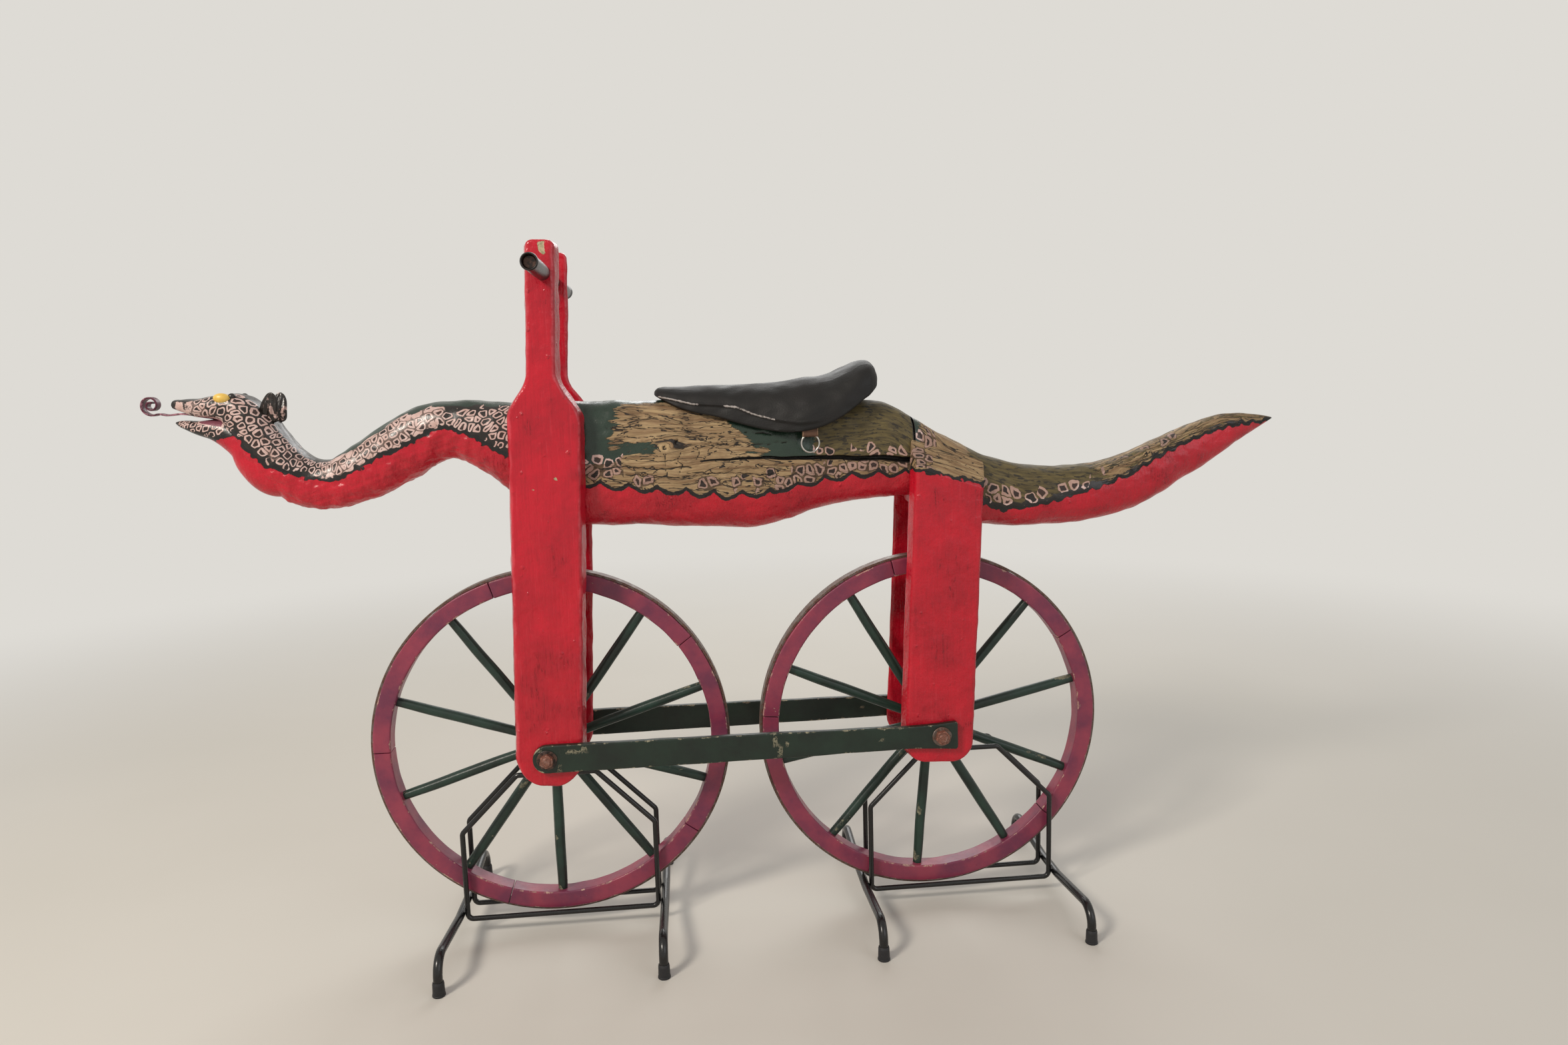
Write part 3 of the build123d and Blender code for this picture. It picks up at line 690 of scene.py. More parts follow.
def enamel(name, fresh, deep, rough_low, rough_high, wave=0.25):
    """A closed coat on a smooth piece, such as stand enamel, rubber or horn: one deep colour that clouds a
    little, and fine dust and scratches in its gloss."""
    m, where = new_material(name)
    cloud, grit = (add(m, "TexNoise", {"Vector": where, "Scale": scale, "Detail": detail, "Roughness": 0.6})
                   for scale, detail in ((30.0, 4.0), (420.0, 3.0)))
    rough = add(m, "MapRange", {0: grit, 1: 0.3, 2: 0.7, 3: rough_low, 4: rough_high})
    return finished(m, two_tones(m, cloud, 0.35, 0.65, fresh, deep), rough,
                    summed(m, (grit, 0.06), (cloud, wave)), 0.6, IOR=1.5)


# Serpent

# the skin's lower edge in the side view, as x and z from the front axle
trunk_border = [(-60, 470), (20, 462), (87, 459), (160, 449), (240, 440), (315, 431), (380, 432), (430, 443),
                (500, 455), (560, 460), (660, 458)]
neck_border = [(-600, 574), (-584, 570), (-549, 561), (-520, 551), (-501, 550), (-486, 556), (-472, 556),
               (-453, 528), (-429, 506), (-392, 492), (-357, 480), (-331, 477), (-304, 486), (-259, 509),
               (-215, 526), (-187, 543), (-158, 556), (-137, 557), (-110, 548), (-84, 536), (-58, 519),
               (-30, 505), (30, 470)]
tail_border = [(620, 452), (700, 430), (764, 400), (793, 388), (834, 391), (880, 398), (930, 411), (981, 424),
               (1031, 441), (1071, 463), (1107, 481), (1149, 498), (1194, 513), (1235, 522), (1290, 526),
               (1330, 530)]
# the long drying crack, and short ones across and along the grain on the left side, round the knots
crack_line = np.array(
    [(270, 489), (290, 491), (363, 491), (441, 490), (532, 486), (626, 480), (650, 479)], float)
trunk_checks = [
    [(120, 549), (160, 546), (207, 547), (262, 539)], [(262, 529), (318, 537), (396, 531)],
    [(152, 534), (200, 531), (222, 524)], [(112, 481), (160, 484), (214, 477)], [(214, 477), (262, 481)],
    [(252, 470), (318, 468), (402, 462)], [(213, 504), (217, 492), (214, 479), (219, 466)],
    [(244, 507), (239, 495), (243, 481), (238, 468)], [(219, 466), (228, 462), (252, 464)],
    [(262, 512), (274, 503), (270, 494)], [(150, 470), (196, 466), (219, 466)],
    [(290, 516), (352, 512), (420, 516)]]
# knots and splintered places: side, x, z, radius
trunk_knots = [(-1, 237, 521, 9), (-1, 216, 513, 6), (-1, 236, 487, 5), (1, 402, 512, 9), (1, 180, 470, 7)]
tail_knots = [(-1, 1014, 446, 6), (-1, 1068, 475, 5), (1, 1040, 460, 6)]


def grain_lines(rel, around, knots):
    """Grain coordinate in millimetres: the length round the body, slowly wandering, bent round each knot as
    a stream bends round a post, and ringed inside it."""
    grain = around + 5 * ripple(rel * [0.35, 1, 1], 60, 21)
    for side, x0, z0, radius in knots:
        dx, dz = (rel[..., 0] - x0) / 1.7, rel[..., 2] - z0
        far = np.hypot(dx, dz)
        near = bell(far, 3.5 * radius) * (np.sign(rel[..., 1]) == side)
        bent = np.abs(around) + np.where(far > radius, dz * radius**2 / np.maximum(far, radius) ** 2, dz)
        grain = grain + near * (side * bent - around) * 0.9
    return grain


def knot_relief(rel, knots):
    """Height and darkness of the knots: a raised collar round a sunken, splintered heart."""
    high, dark = np.zeros((2, *rel.shape[:2]))
    for number, (side, x0, z0, radius) in enumerate(knots):
        far = np.hypot(rel[..., 0] - x0, (rel[..., 2] - z0) * 1.4) + 2.5 * ripple(rel, 11, 40 + number)
        near = np.sign(rel[..., 1]) == side
        high += near * (0.16 * radius * bell(far - 0.8 * radius, 0.45 * radius))
        high -= near * (0.38 * radius * bell(far, 0.38 * radius))
        dark += near * bell(far, 0.36 * radius)
    return high, dark


def scallops(at, length, depth):
    """A row of round scallops at places along it: the depth times a sine without its sign."""
    return depth * np.abs(np.sin(pi * at / length))


def skin_marks(place, edge, paint, ground, split=0.0, under=None, over=100.0, fineness=1.0):
    """The skin's attributes, as the material reads them: place is along and round the body, paint is the
    shares of rings, cream and bare wood, and ground is green, olive and the grain coordinate. The rings keep
    between two lines: under is the height in millimetres above the lower one, the border unless it is given,
    and over the depth below the upper. Where the fineness is over 1 they are smaller than 15 mm."""
    along, around = place
    even = np.zeros(along.shape)
    return {"skin_place": stacked(fineness * along, fineness * around, edge), "skin_paint": stacked(*paint),
            "skin_ground": stacked(*ground), "skin_split": split + even,
            "ring_room": stacked(edge if under is None else under, over, even)}


def hewn(points, seed, coarse=1.1, fine=0.35, sizes=(70, 20)):
    """A grid with the shallow hollows of a hand tool, of two sizes in millimetres, along its normals."""
    return raised(points, coarse * ripple(points, sizes[0], seed) + fine * ripple(points, sizes[1], seed + 1))


def serpent_trunk(material):
    """The thick middle log: upright sections, the long drying crack, knots and a rounded front end."""
    # x, top, bottom, half width, superellipse power
    stations = from_outline([
        (-14, 597, 440, 50, 3.0), (-8, 598, 415, 54, 3.1), (6, 598, 393, 55.4, 3.2),
        (76, 594, 384, 55.6, 3.2), (120, 593, 382, 58, 2.9), (167, 592, 381, 61, 2.6),
        (234, 591, 374, 64, 2.35), (319, 589, 369, 65.5, 2.3), (370, 588, 368, 65.5, 2.3),
        (426, 587, 380, 64, 2.4), (475, 585, 396, 61.5, 2.5), (527, 583, 407, 59, 2.8),
        (575, 581, 411, 57, 3.0), (600, 576, 412, 55.7, 3.1), (622, 566, 413, 55.6, 3.1),
        (saw_front, 554, 414, 55.5, 3.1)])
    crack_angle = radians(88)
    angle = section_angles(330, 2.7, 63, 105, [(-crack_angle, 0.09, 2.2), (crack_angle, 0.07, 1.2)])
    points = hewn(swept(stations, BODY_ROWS, angle), 3)
    rel = points - datum
    x, z = rel[..., 0], rel[..., 2]
    along, around = lengths(points)
    left = rel[..., 1] < 0

    # the crack opens towards the saw cut; the right side has a shorter and finer one
    over_crack = z - np.interp(x, *crack_line.T)
    open_share = np.where(left, np.clip((x - 275) / 365, 0, 1), 0.5 * np.clip((x - 430) / 210, 0, 1))
    off = np.abs(over_crack - 1.1 * ripple(rel * [1, 0, 0], 26, 9))
    half = 0.5 + 4.2 * open_share
    groove = np.exp(-((off / half) ** 4)) * (open_share > 0)
    knot_high, knot_dark = knot_relief(rel, trunk_knots)
    bent = rel + 1.6 * ripple(rel, 14, 41)[..., None] * [1, 0, 1]
    fine = np.max([bell(off_line(bent, line), 1.1) * left for line in trunk_checks], 0)
    points = raised(points, knot_high - groove * (1.5 + 13 * open_share) - 1.6 * fine)

    # dark in the cracks and knots, and painted shade on the saw cut's faces, in the gap between trunk and
    # tail
    split = np.max([bell(off, half + 0.9) * (open_share > 0) * 1.2, 0.85 * knot_dark, 0.8 * fine,
                    between(x, saw_front - 2.2, 700, saw_shade_soft)], 0)
    edge = above(rel, trunk_border) + scallops(x - 14, 47, 11) - 4 + 1.2 * ripple(rel, 26, 11)
    wood_end = 326 + 0.8 * (562 - z) + 16 * ripple(rel * [0.3, 1, 1], 16, 12)
    wood_start = 116 + 22 * ripple(rel * [0.3, 1, 1], 17, 13)
    upper, front = over_crack > 0, x < 150
    bare = np.where(upper, between(x, wood_start, wood_end, 40), between(x, wood_start - 55, 900, 36) * 0.93)
    bare = bare * between(z, 0, 588, 12) * 0.97
    patch = between(x, 140, 205, 30) * between(z, 502, 526, 12)
    patch = patch + between(x, 60, 132, 40) * between(z, 505, 620, 20)
    bare = bare - 0.62 * patch - 0.22 * between(x, 110, 200, 60) * between(z, 545, 590, 20)
    bare = np.clip(bare, 0, 1)
    olive = np.where(upper, between(x, 468, 900, 26), 0.0)
    low_row = 0.8 * between(x, 350, 900, 60) + 0.3 * between(x, 150, 345, 40)
    rings = np.where(upper, 0.95 * between(x, 462, 900, 12), low_row)
    rings = np.where(front, between(x, 40, 146, 4), rings)
    under = np.where(front, z - 462, np.where(upper, over_crack + 2, edge))
    over = np.where(front, 509 - z, np.where(upper, 26 - over_crack, 36 - edge))
    ground = (np.clip(1 - olive, 0, 1), olive, grain_lines(rel, around, trunk_knots))
    marks = skin_marks((along, around), edge, (rings, 0.1, bare), ground, split, under, over, fineness=0.86)
    place("painted_trunk", grid(points, marks), material, "painted_skin", "serpent_trunk")


def serpent_tail(material):
    """The tail from the saw cut to its tip: upright sections that fall, level out and rise again."""
    # x, top, bottom, half width, superellipse power
    stations = from_outline([
        (saw_rear, 553, 400, 55.5, 3.1), (692, 523, 374, 55.6, 3.1), (743, 495, 360, 55.6, 3.0),
        (779, 479, 356, 54, 2.7), (830, 464, 353, 52, 2.5), (871, 458, 352, 50, 2.4),
        (925, 456, 354, 47, 2.4), (976, 460, 359, 44.5, 2.4), (1028, 471, 370, 41.5, 2.4),
        (1069, 487, 385, 39, 2.4), (1111, 504, 405, 36, 2.4), (1153, 521, 430, 32, 2.4),
        (1187, 532, 450, 28, 2.4), (1211, 538, 466, 24.5, 2.3), (1254, 540, 494, 17.5, 2.2),
        (1291, 536, 515, 9.5, 2.1), (1309, 532.5, 525.5, 4.4, 2.0), (1314.5, 531, 528.6, 1.4, 2.0)])
    points = swept(stations, BODY_ROWS, section_angles(240, 2.6, 50, 60))
    rel = points - datum
    x, z = rel[..., 0], rel[..., 2]
    points = points + (hewn(points, 5) - points) * between(x, 0, 1285, 40)[..., None]
    along, around = lengths(points)
    knot_high, knot_dark = knot_relief(rel, tail_knots)
    points = raised(points, knot_high)
    edge = above(rel, tail_border) + scallops(x, 24, 4.5) - 1.5 + 1.3 * ripple(rel, 17, 15)
    tan = between(x, 650, 742, 40) * between(z - 0.62 * (700 - x), 425, 620, 30)
    bare = 0.86 * tan + 0.56 * between(x, 972 - 0.8 * (z - 430), 1600, 70)
    rings = (0.95 * between(x, 760, 985, 10) + 0.9 * between(x, 630, 676, 10)
             + 0.25 * between(x, 985, 1120, 30))
    over = np.where(x < 720, 530 - z, np.interp(x, [800, 850], [44, 28]) - edge)
    olive = np.clip(0.8 * between(x, 742, 1600, 60) * between(edge, 9, 200, 10) + 0.4 * tan, 0, 1)
    green = 0.75 * between(x, 858, 918, 20) * between(z, 428, 448, 8) + 0.8 * between(x, 636, 655, 10)
    # the tail's face at the saw cut is painted dark as the shade in the gap
    split = np.maximum(0.8 * knot_dark, between(x, 0, saw_rear + 1.8, saw_shade_soft))
    ground = (green, olive, grain_lines(rel, around, tail_knots))
    marks = skin_marks((along, around), edge, (rings, 0.12, bare), ground, split, over=over, fineness=0.74)
    place("painted_tail", grid(points, marks), material, "painted_skin", "serpent_tail")


def head_marks(points, jaw=False):
    """The skin's attributes on the neck and the head, or on the lower jaw, whose rings are smaller."""
    rel = points - datum
    x, z = rel[..., 0], rel[..., 2]
    along, around = lengths(points)
    edge = above(rel, neck_border) + scallops(along, 21, 2.5) + 2.2 * ripple(rel, 11, 31)
    back = np.interp(x, [-560, -470, -440, -400, -360, -335, -300, -200, -120],
                     [14, 12, 18, 17, 17, 19, 30, 33, 38])
    back = back + 3.0 * ripple(rel, 30, 32)
    below_back = np.clip((np.abs(around) - back) / 5 + 0.5, 0, 1)
    cream = between(x, -342, -140, 36) * below_back * between(edge, 4.5, 400, 4)
    upper_lip = np.interp(x, [-583, -558, -539, -520], [600, 591, 585, 583])
    worn_side = between(x, -572, -524, 14) * between(z - upper_lip, -2, 12, 5)
    # worn cream strokes beside the nostrils, and the mouth's corner in mauve, which is a cream share of 2
    worn_side = np.maximum(worn_side, between(x + 0.9 * (z - 600), -566, -519, 10) * between(z, 586, 611, 6))
    # pale cream over the lower throat's rings, partly paint and partly a painted highlight
    throat = 0.34 * between(x, -440, -372, 24) * between(edge, 6, 40, 8)
    corner = between(x, -537, -494, 12) * between(z + 0.2 * (x + 515), 570, 584, 5)
    cream = np.maximum(np.clip(cream + 0.6 * worn_side + throat, 0, 1), 2.0 * corner)
    rings = (1 - between(x, -600, -540, 8) * (z > 585)) * (1 - corner)
    green = 0.95 * between(x, -322, 60, 40) * (1 - below_back)
    fineness, lift, top = (1.35, 6, 0) if jaw else (1.08, 0, back - 3)
    return skin_marks((along, around), edge, (rings, cream, 0.0), (green, 0.0, around),
                      under=edge + lift, over=np.abs(around) - top, fineness=fineness)


def ear(side):
    """A pleated leaf behind the eye, painted dark with a few pale strokes along its flutes that are painted
    highlights: a flattened lobe that tapers to its tip, with four flutes."""
    share = np.linspace(0, 1, 46)[:, None]
    angle = circle(72)
    base, tip = np.array([(-428, side * 14, 574.0), (-416, side * 20, 621.0)])
    back = np.array([0.93, 0.0, -0.36])
    out = np.cross(unit(tip - base), back)
    lobe = np.sqrt(np.clip(1 - (2 * share - 1) ** 4, 0, 1)) * (1.0 - 0.55 * share)
    flute = 1 + 0.30 * np.cos(9 * angle) * np.sin(pi * share) ** 0.7
    wide = 19.0 * lobe * np.cos(angle) * (0.75 + 0.25 * flute)
    thick = 6.5 * lobe * np.sin(angle) * flute + 2.4 * np.sin(3 * pi * share) * 0.4
    rel = base + (tip - base) * share[..., None] + wide[..., None] * back + thick[..., None] * out
    along, around = lengths(rel)
    # pale strokes along the flutes, painted as highlights
    painted_flute_highlight = np.clip(0.2 + ripple(rel * [1.6, 1, 0.25], 9, 33), 0, 1) * 0.5
    marks = skin_marks((along, around), FAR_FROM_BORDER, (0.0, painted_flute_highlight, 0.0), (0.0, 0.0, around))
    return grid(rel + datum, marks)


def serpent_head(material):
    """Neck, head and both jaws: sections square to a path that runs forward from the front boards, and the
    throat with the lower jaw as a second, shorter path. The ears and brow knobs are lobes on the head."""
    # x, z, half thickness, half width, superellipse power
    upper = [
        (6, 510, 86, 54.6, 3.0), (-20, 519, 77, 54.6, 2.9), (-46, 530, 67, 54.4, 2.7),
        (-75, 540, 59, 52.5, 2.5), (-129, 552, 48.5, 48, 2.4), (-175, 545, 50, 46, 2.4),
        (-222, 520, 51, 44, 2.4), (-280, 488, 46.5, 41, 2.4), (-336, 467, 40.5, 38, 2.4),
        (-372, 470, 41, 38, 2.4), (-414, 499, 40, 40, 2.4), (-440, 533, 41, 41, 2.4),
        (-455, 563, 37.5, 41, 2.4), (-475, 589, 30.5, 39, 2.5), (-500, 598, 21.8, 34, 2.6),
        (-539, 599.5, 14.5, 25, 2.6), (-558, 602.5, 10.8, 20, 2.6), (-570, 605, 8.6, 16.5, 2.6),
        (-576, 606.5, 7, 13.5, 2.5), (-578.5, 607, 4.2, 9, 2.2)]
    lower = [
        (-405, 478, 30, 33, 2.3), (-425, 484, 35, 37, 2.3), (-450, 510, 36, 37, 2.3),
        (-468, 537, 29.5, 35, 2.4), (-490, 553, 25, 31, 2.4), (-513, 562, 18.5, 27, 2.5),
        (-541, 566.5, 11.8, 20, 2.5), (-560, 571.5, 7.8, 13.5, 2.3), (-572, 574.5, 4.4, 8, 2.2),
        (-577, 575.6, 1.8, 3.5, 2.0)]
    neck = hewn(swept(upper, BODY_ROWS, section_angles(200, 2.5, 45, 50), upright=False), 7, 0.8, 0.4)
    below = between(above(neck - datum, neck_border), -400, -6, 8)
    neck = raised(neck, below * (1.0 * ripple(neck, 26, 34) + 0.4 * ripple(neck, 9, 36)))
    jaw = swept(lower, 130, section_angles(120, 2.4, 32, 28), upright=False)
    forms = [grid(neck, head_marks(neck)), grid(jaw, head_marks(jaw, True))]
    flat = np.zeros((14, 24))
    dark = skin_marks((flat, flat), FAR_FROM_BORDER, [flat] * 3, [flat] * 3, under=flat, over=flat)
    for side in (-1, 1):
        knob = turned(ball(6.2, 6.0), 24, marks=dark)
        forms += [ear(side), moved(knob, np.eye(3), front_axle + [-476.5, side * 24, 615.5])]
    place("painted_head_and_neck", forms, material, "painted_skin", "serpent_head_and_neck")


def serpent_tongue(material):
    """A strap iron ribbon out of the mouth that ends in a scroll: a rounded section along a smooth lead and
    a spiral whose radius shrinks evenly."""
    lead = [(-478, 566), (-505, 578), (-541, 586.5), (-568, 590), (-588, 588.5)]
    turn = np.linspace(-0.35 * pi, -3.75 * pi, 150)
    radius = np.linspace(17.2, 3.6, 150) - 0.9 * np.sin(np.linspace(0, pi, 150))
    curl = [-612.5, 605.5] + radius[:, None] * np.stack([np.cos(turn), np.sin(turn)], 1)
    both = np.vstack([lead, curl])
    length = path_length(both)
    at = np.linspace(0, length[-1], 260)
    draw = end_round(np.minimum(at, length[-1] - at), 1.2)
    half_width, half_thickness = 7.0, 1.5
    across, out, _ = plank(half_width - draw, half_thickness - draw, 1.0, (12, 3), 4)
    y, x, z = ribbon(through(length, both, at), across, out)
    edge = np.hypot(half_width - np.abs(across), half_thickness - np.abs(out))
    form = grid(stacked(x, y, z) + datum, wear(edge * 0.45))
    place("curled_tongue", form, material, "tongue_iron", "serpent_tongue")


def eye(name, side, material):
    """A domed oval eye let into the brow: an egg flattened towards the head."""
    tilt = about_y(radians(6)) @ np.diag([13.5, 9.0, 8.6])
    form = moved(turned(ball(1.0, 1.0, 26), 44), tilt, front_axle + [-490.5, side * 28.0, 611.6 - side * 1.6])
    place(f"{name}_domed_eye", form, material, "eye_paint", f"{name}_eye")


# Boards and bars

def chips(rel, spots):
    """Distance into the nearest chipped spot, positive inside. Spots are x, z, half length, half height."""
    inside = np.full(rel.shape[:-1], NO_CHIP)
    for x, z, long, high in spots:
        depth = 1 - np.maximum(np.abs(rel[..., 0] - x) / long, np.abs(rel[..., 2] - z) / high)
        inside = np.maximum(inside, depth * min(long, high))
    return inside


def board_sections(half, from_end, flats):
    """A board's rounded sections, drawn in near its ends. The inner face is wider on each side than the
    outer one, because the arrises were planed off at a slant."""
    splay, slimmest, end_radius, edge_radius = 6.5, 22, 6.0, 5.5
    half_out = board_thickness / 2 - end_round(from_end, end_radius)
    across, out, edge = plank(half, half_out, edge_radius, flats, 5)
    across = across * (1 + splay / np.maximum(half, slimmest)[:, None] * (0.5 - out / board_thickness))
    return across, out, edge


def planed(across, out, height, side, seed):
    """A board's points from its axle: across is X, out is away from the wheel. Hand planing left soft hollows
    in them, and use a few knocks."""
    points = stacked(across, side * (board_middle + out), height)
    return hewn(points, seed + side, 0.55, 0.22, (85, 24))


def front_board(name, side, material):
    """A bottle-shaped board: a round foot, long sides that widen a little, shoulders, and a slim neck."""
    foot, shoulder, neck = 54.0, 57.0, 21.8
    shoulder_height, neck_height, top, top_radius = 566.0, 640.0, 850.0, 11.0
    z = spaced(board_foot, top, 190, 9.0)
    body = foot + (shoulder - foot) * np.clip(z / shoulder_height, 0, 1)
    narrowing = np.clip((z - shoulder_height) / (neck_height - shoulder_height), 0, 1)
    body = body + (neck - body) * eased(narrowing)
    half = np.where(z < 0, np.sqrt(np.maximum(foot**2 - z**2, 0.5)), body) - end_round(top - z, top_radius)
    across, out, edge = board_sections(half, np.minimum(z - board_foot, top - z), (34, 9))
    across = across + np.interp(z, [0, 270, 560, 640, 850], [3.0, 2, 0, -5, -5])[:, None]
    points = planed(across, out, z[:, None], side, 50)
    points[..., 0] += 0.6 * bell(edge, 9) * ripple(points, 30, 60 + side)
    points = points @ about_y(board_lean).T
    spots = {-1: [(37, 836, 5.5, 9), (39, 470, 2.4, 3), (3, 452, 2.4, 2)],
             1: [(20, 700, 5, 8), (-30, 300, 4, 5)]}
    form = grid(points + front_axle, wear(edge, chips(points, spots[side])))
    place(f"{name}_front_upright", form, material, "red_paint", f"{name}_front_board")


def rear_board(name, side, material):
    """A shorter board with a rounded foot. Its upper end falls to the rear and is chamfered in to the tail,
    and the snake skin is painted on down over it."""
    corner, half_width, top, slope, chamfer = 40.0, 59.0, 494.0, radians(15.5), 45.0
    share = np.concatenate([np.linspace(0, 1, 9)[:-1] ** 1.5 * 0.08, np.linspace(0.08, 1, 150)])
    from_foot = share * (top - board_foot)
    across, out, _ = board_sections(half_width - end_round(from_foot, corner), from_foot, (40, 10))
    end = top - across * np.tan(slope) - chamfer * (out + board_thickness / 2) / board_thickness
    points = planed(across, out, board_foot + share[:, None] * (end - board_foot), side, 70)
    cap = np.linspace(1, 0.06, 16)[1:, None, None]
    middle = points[-1].mean(0)
    points = np.concatenate([points, middle + (points[-1] - middle) * cap])
    points = points @ about_y(board_lean).T + rear_axle
    rel = points - datum
    along, around = rel[..., 0], np.abs(rel[..., 1]) * 1.2 - rel[..., 2]
    # the painted skin ends in a ragged line along the chamfer's lower edge
    line = [(600, 474), (636, 464), (662, 459), (690, 452), (720, 445), (752, 436), (800, 424)]
    border = above(rel, line) + 2.2 * ripple(rel, 17, 35) + 1.4 * ripple(rel, 7, 36)
    rings = 0.5 * between(along, 600, 668, 10) + 0.08
    grain = 0.7 * (around - 0.4 * along)
    marks = skin_marks((along, around), border, (rings, 0.3, 0.7), (0.1, 0.6, grain), fineness=0.8)
    place(f"{name}_rear_upright", grid(points, marks), material, "red_paint", f"{name}_rear_board")


def link_bar(name, side, material):
    """The flat green bar between the axles: round in front, wider and square behind."""
    front, corner = 24.0, 5.0
    low, high = -front, wheelbase + bar_rear
    s = np.concatenate([low + front * (1 - np.cos(np.linspace(0, pi / 2, 16)))[:-1],
                        np.linspace(0, high - corner, 120),
                        high - corner + corner * np.sin(np.linspace(0, pi / 2, 8))[1:]])
    flare = through([0, 300, 560, 640, 680, high], [front, 23, 20.8, 20.2, 22.8, 24.8], s)
    half = np.where(s < 0, np.sqrt(np.maximum(front**2 - s**2, 0.4)), flare)
    half = half - np.where(s > 0, end_round(high - s, corner), 0)
    thick = (bar_outer - board_outer) / 2 - end_round(np.minimum(s - low, high - s), 2.0)
    across, out, edge = plank(half, thick, 2.2, (24, 4), 4)
    points = stacked(s[:, None], side * ((board_outer + bar_outer) / 2 + out), across)
    points = raised(points, 0.35 * ripple(points, 60, 80 + side))
    spots = [(45, 12, 15, 3), (62, 16, 6, 3), (384, 12, 4, 11), (392, -8, 4, 9), (405, 4, 3, 5),
             (566, 0, 4, 2), (20, -16, 3, 5), (-12, 14, 5, 3)]
    marks = wear(edge, chips(points, spots if side < 0 else spots[2:]))
    place(f"{name}_tie_bar", grid(points + front_axle, marks), material, "green_paint", f"{name}_link_bar")


# Wheels

def mirrored(half):
    """A whole profile of (radius, height) from its upper half, which is given from the end to the middle."""
    half = np.array(half, float)
    return np.vstack([half * [1, -1], half[::-1]])


def felloe(axle, start, end, seed):
    """One wooden arc of a rim: a bevelled section carried round the axle between two saw cuts."""
    angle = spaced(start, end, 44, (end - start) * 0.02)
    middle = felloe_outer - felloe_depth / 2
    draw = end_round(np.minimum(angle - start, end - angle) * middle, 1.2)
    across, out, edge = plank(felloe_depth / 2 - draw, felloe_half_width - draw, 3.0, (12, 14), 4)
    radius, angle = middle + across, angle[:, None]
    points = stacked(radius * np.sin(angle), out, radius * np.cos(angle))
    points = raised(points, 0.35 * ripple(points, 45, seed) - 0.3)
    edge = np.where(np.abs(across) > felloe_depth / 2 - 3.2, edge, edge + 0.8)
    return grid(points + axle, wear(edge))


def spoke(number, inner):
    """A shaved stick from hub to rim, a little bowed: round, with six faint facets and slimmer ends."""
    heights = np.linspace(hub_radius - 6, inner + 5, 60)
    shave = np.clip((heights - hub_radius) / (inner - hub_radius), 0, 1)
    radius = spoke_radius * (0.86 + 0.14 * np.sin(pi * shave) ** 0.6)
    form = turned(np.stack([radius, heights], 1), 20)
    points = form["points"]
    points[:, :2] *= (1 + 0.035 * np.cos(6 * np.arctan2(points[:, 1], points[:, 0])))[:, None]
    points[:, :2] += 0.5 * ripple(points * [0, 0, 1] + [37 * number, 0, 0], 90, 110)[:, None]
    from_end = np.abs(points[:, 2:] - [hub_radius, inner]).min(1)
    worn = 4.2 + 3.0 * ripple(points * [1, 1, 0.25] + [0, 0, 50 * number], 16, 112)
    form["marks"] = wear((worn + 0.02 * from_end)[:, None])
    return form


def wheel(end, paint, spoke_paint, tyre_iron):
    """Hub, ten shaved spokes, five felloes and an iron tyre of one wheel."""
    body = f"{end}_wheel"
    axle, turn = axles[body], radians(wheel_turns[body])
    half_joint = felloe_joint / 2 / felloe_outer
    cuts = turn - pi / spoke_count + np.arange(felloe_count + 1) * (2 * pi / felloe_count)
    arcs = [felloe(axle, cuts[i] + half_joint, cuts[i + 1] - half_joint, 90 + i) for i in range(felloe_count)]
    spokes = [moved(spoke(i, felloe_outer - felloe_depth), about_y(turn + i * 2 * pi / spoke_count), axle)
              for i in range(spoke_count)]

    high, waist = hub_half_length, 34.0
    profile = mirrored([
        (axle_radius + 0.4, high), (30.5, high), (33, high - 1.5), (34.2, high - 4), (38.5, waist + 5),
        (42.5, waist + 1.5), (44.6, waist - 2), (hub_radius, waist - 6), (hub_radius, 12), (43.8, 10.5)])
    hub = turned(profile, 72, closed=True)
    hub["marks"] = wear(np.abs(np.hypot(*hub["points"][:, :2].T) - 30)[:, None] * 0.6 + 1)

    inner, outer, half = felloe_outer + 0.05, wheel_radius, tyre_half_width
    band = mirrored([(inner, half), (outer - 0.8, half), (outer, half - 0.9), (outer, half / 2)])
    tyre = turned([*band[:4], (outer, 0), *band[4:], (inner, 0)], 200, closed=True)
    place(f"{end}_felloe_ring", arcs, paint, "plum_paint", f"{body}_felloes", body)
    place(f"{end}_spoke_set", spokes, spoke_paint, "green_paint", f"{body}_spokes", body)
    hub, tyre = (moved(form, z_to_y(1), axle) for form in (hub, tyre))
    place(f"{end}_turned_hub", hub, spoke_paint, "green_paint", f"{body}_hub", body)
    place(f"{end}_iron_tyre", tyre, tyre_iron, "tyre_iron", f"{body}_tyre", body)


# Ironwork, saddle and stands

def hexagon(width, low, high):
    """A hexagonal nut: at each angle the radius is that of the flats, or of the chamfer where that is less.
    The axle's end lies in a shallow recess in the outer face."""
    angle = circle(90)
    flats = width / 2 / np.cos((angle + pi / 6) % (pi / 3) - pi / 6)
    limit = width / 2 * np.array([1.06, 1.13, 2.0, 2.0, 1.13, 1.08, 0.98, 0.80, 0.64, 0.61, 0.58, 0.52])
    below_top = np.array([2.6, 1.2, 0.7, 0.1, 0, 0.2, 1.6, 1.7, 1.0])
    height = np.array([low, low + 0.9, low + 1.8, *(high - below_top)])
    radius = np.minimum(flats, limit[:, None]) * 0.995
    return grid(stacked(radius * np.cos(angle), radius * np.sin(angle), height[:, None]))


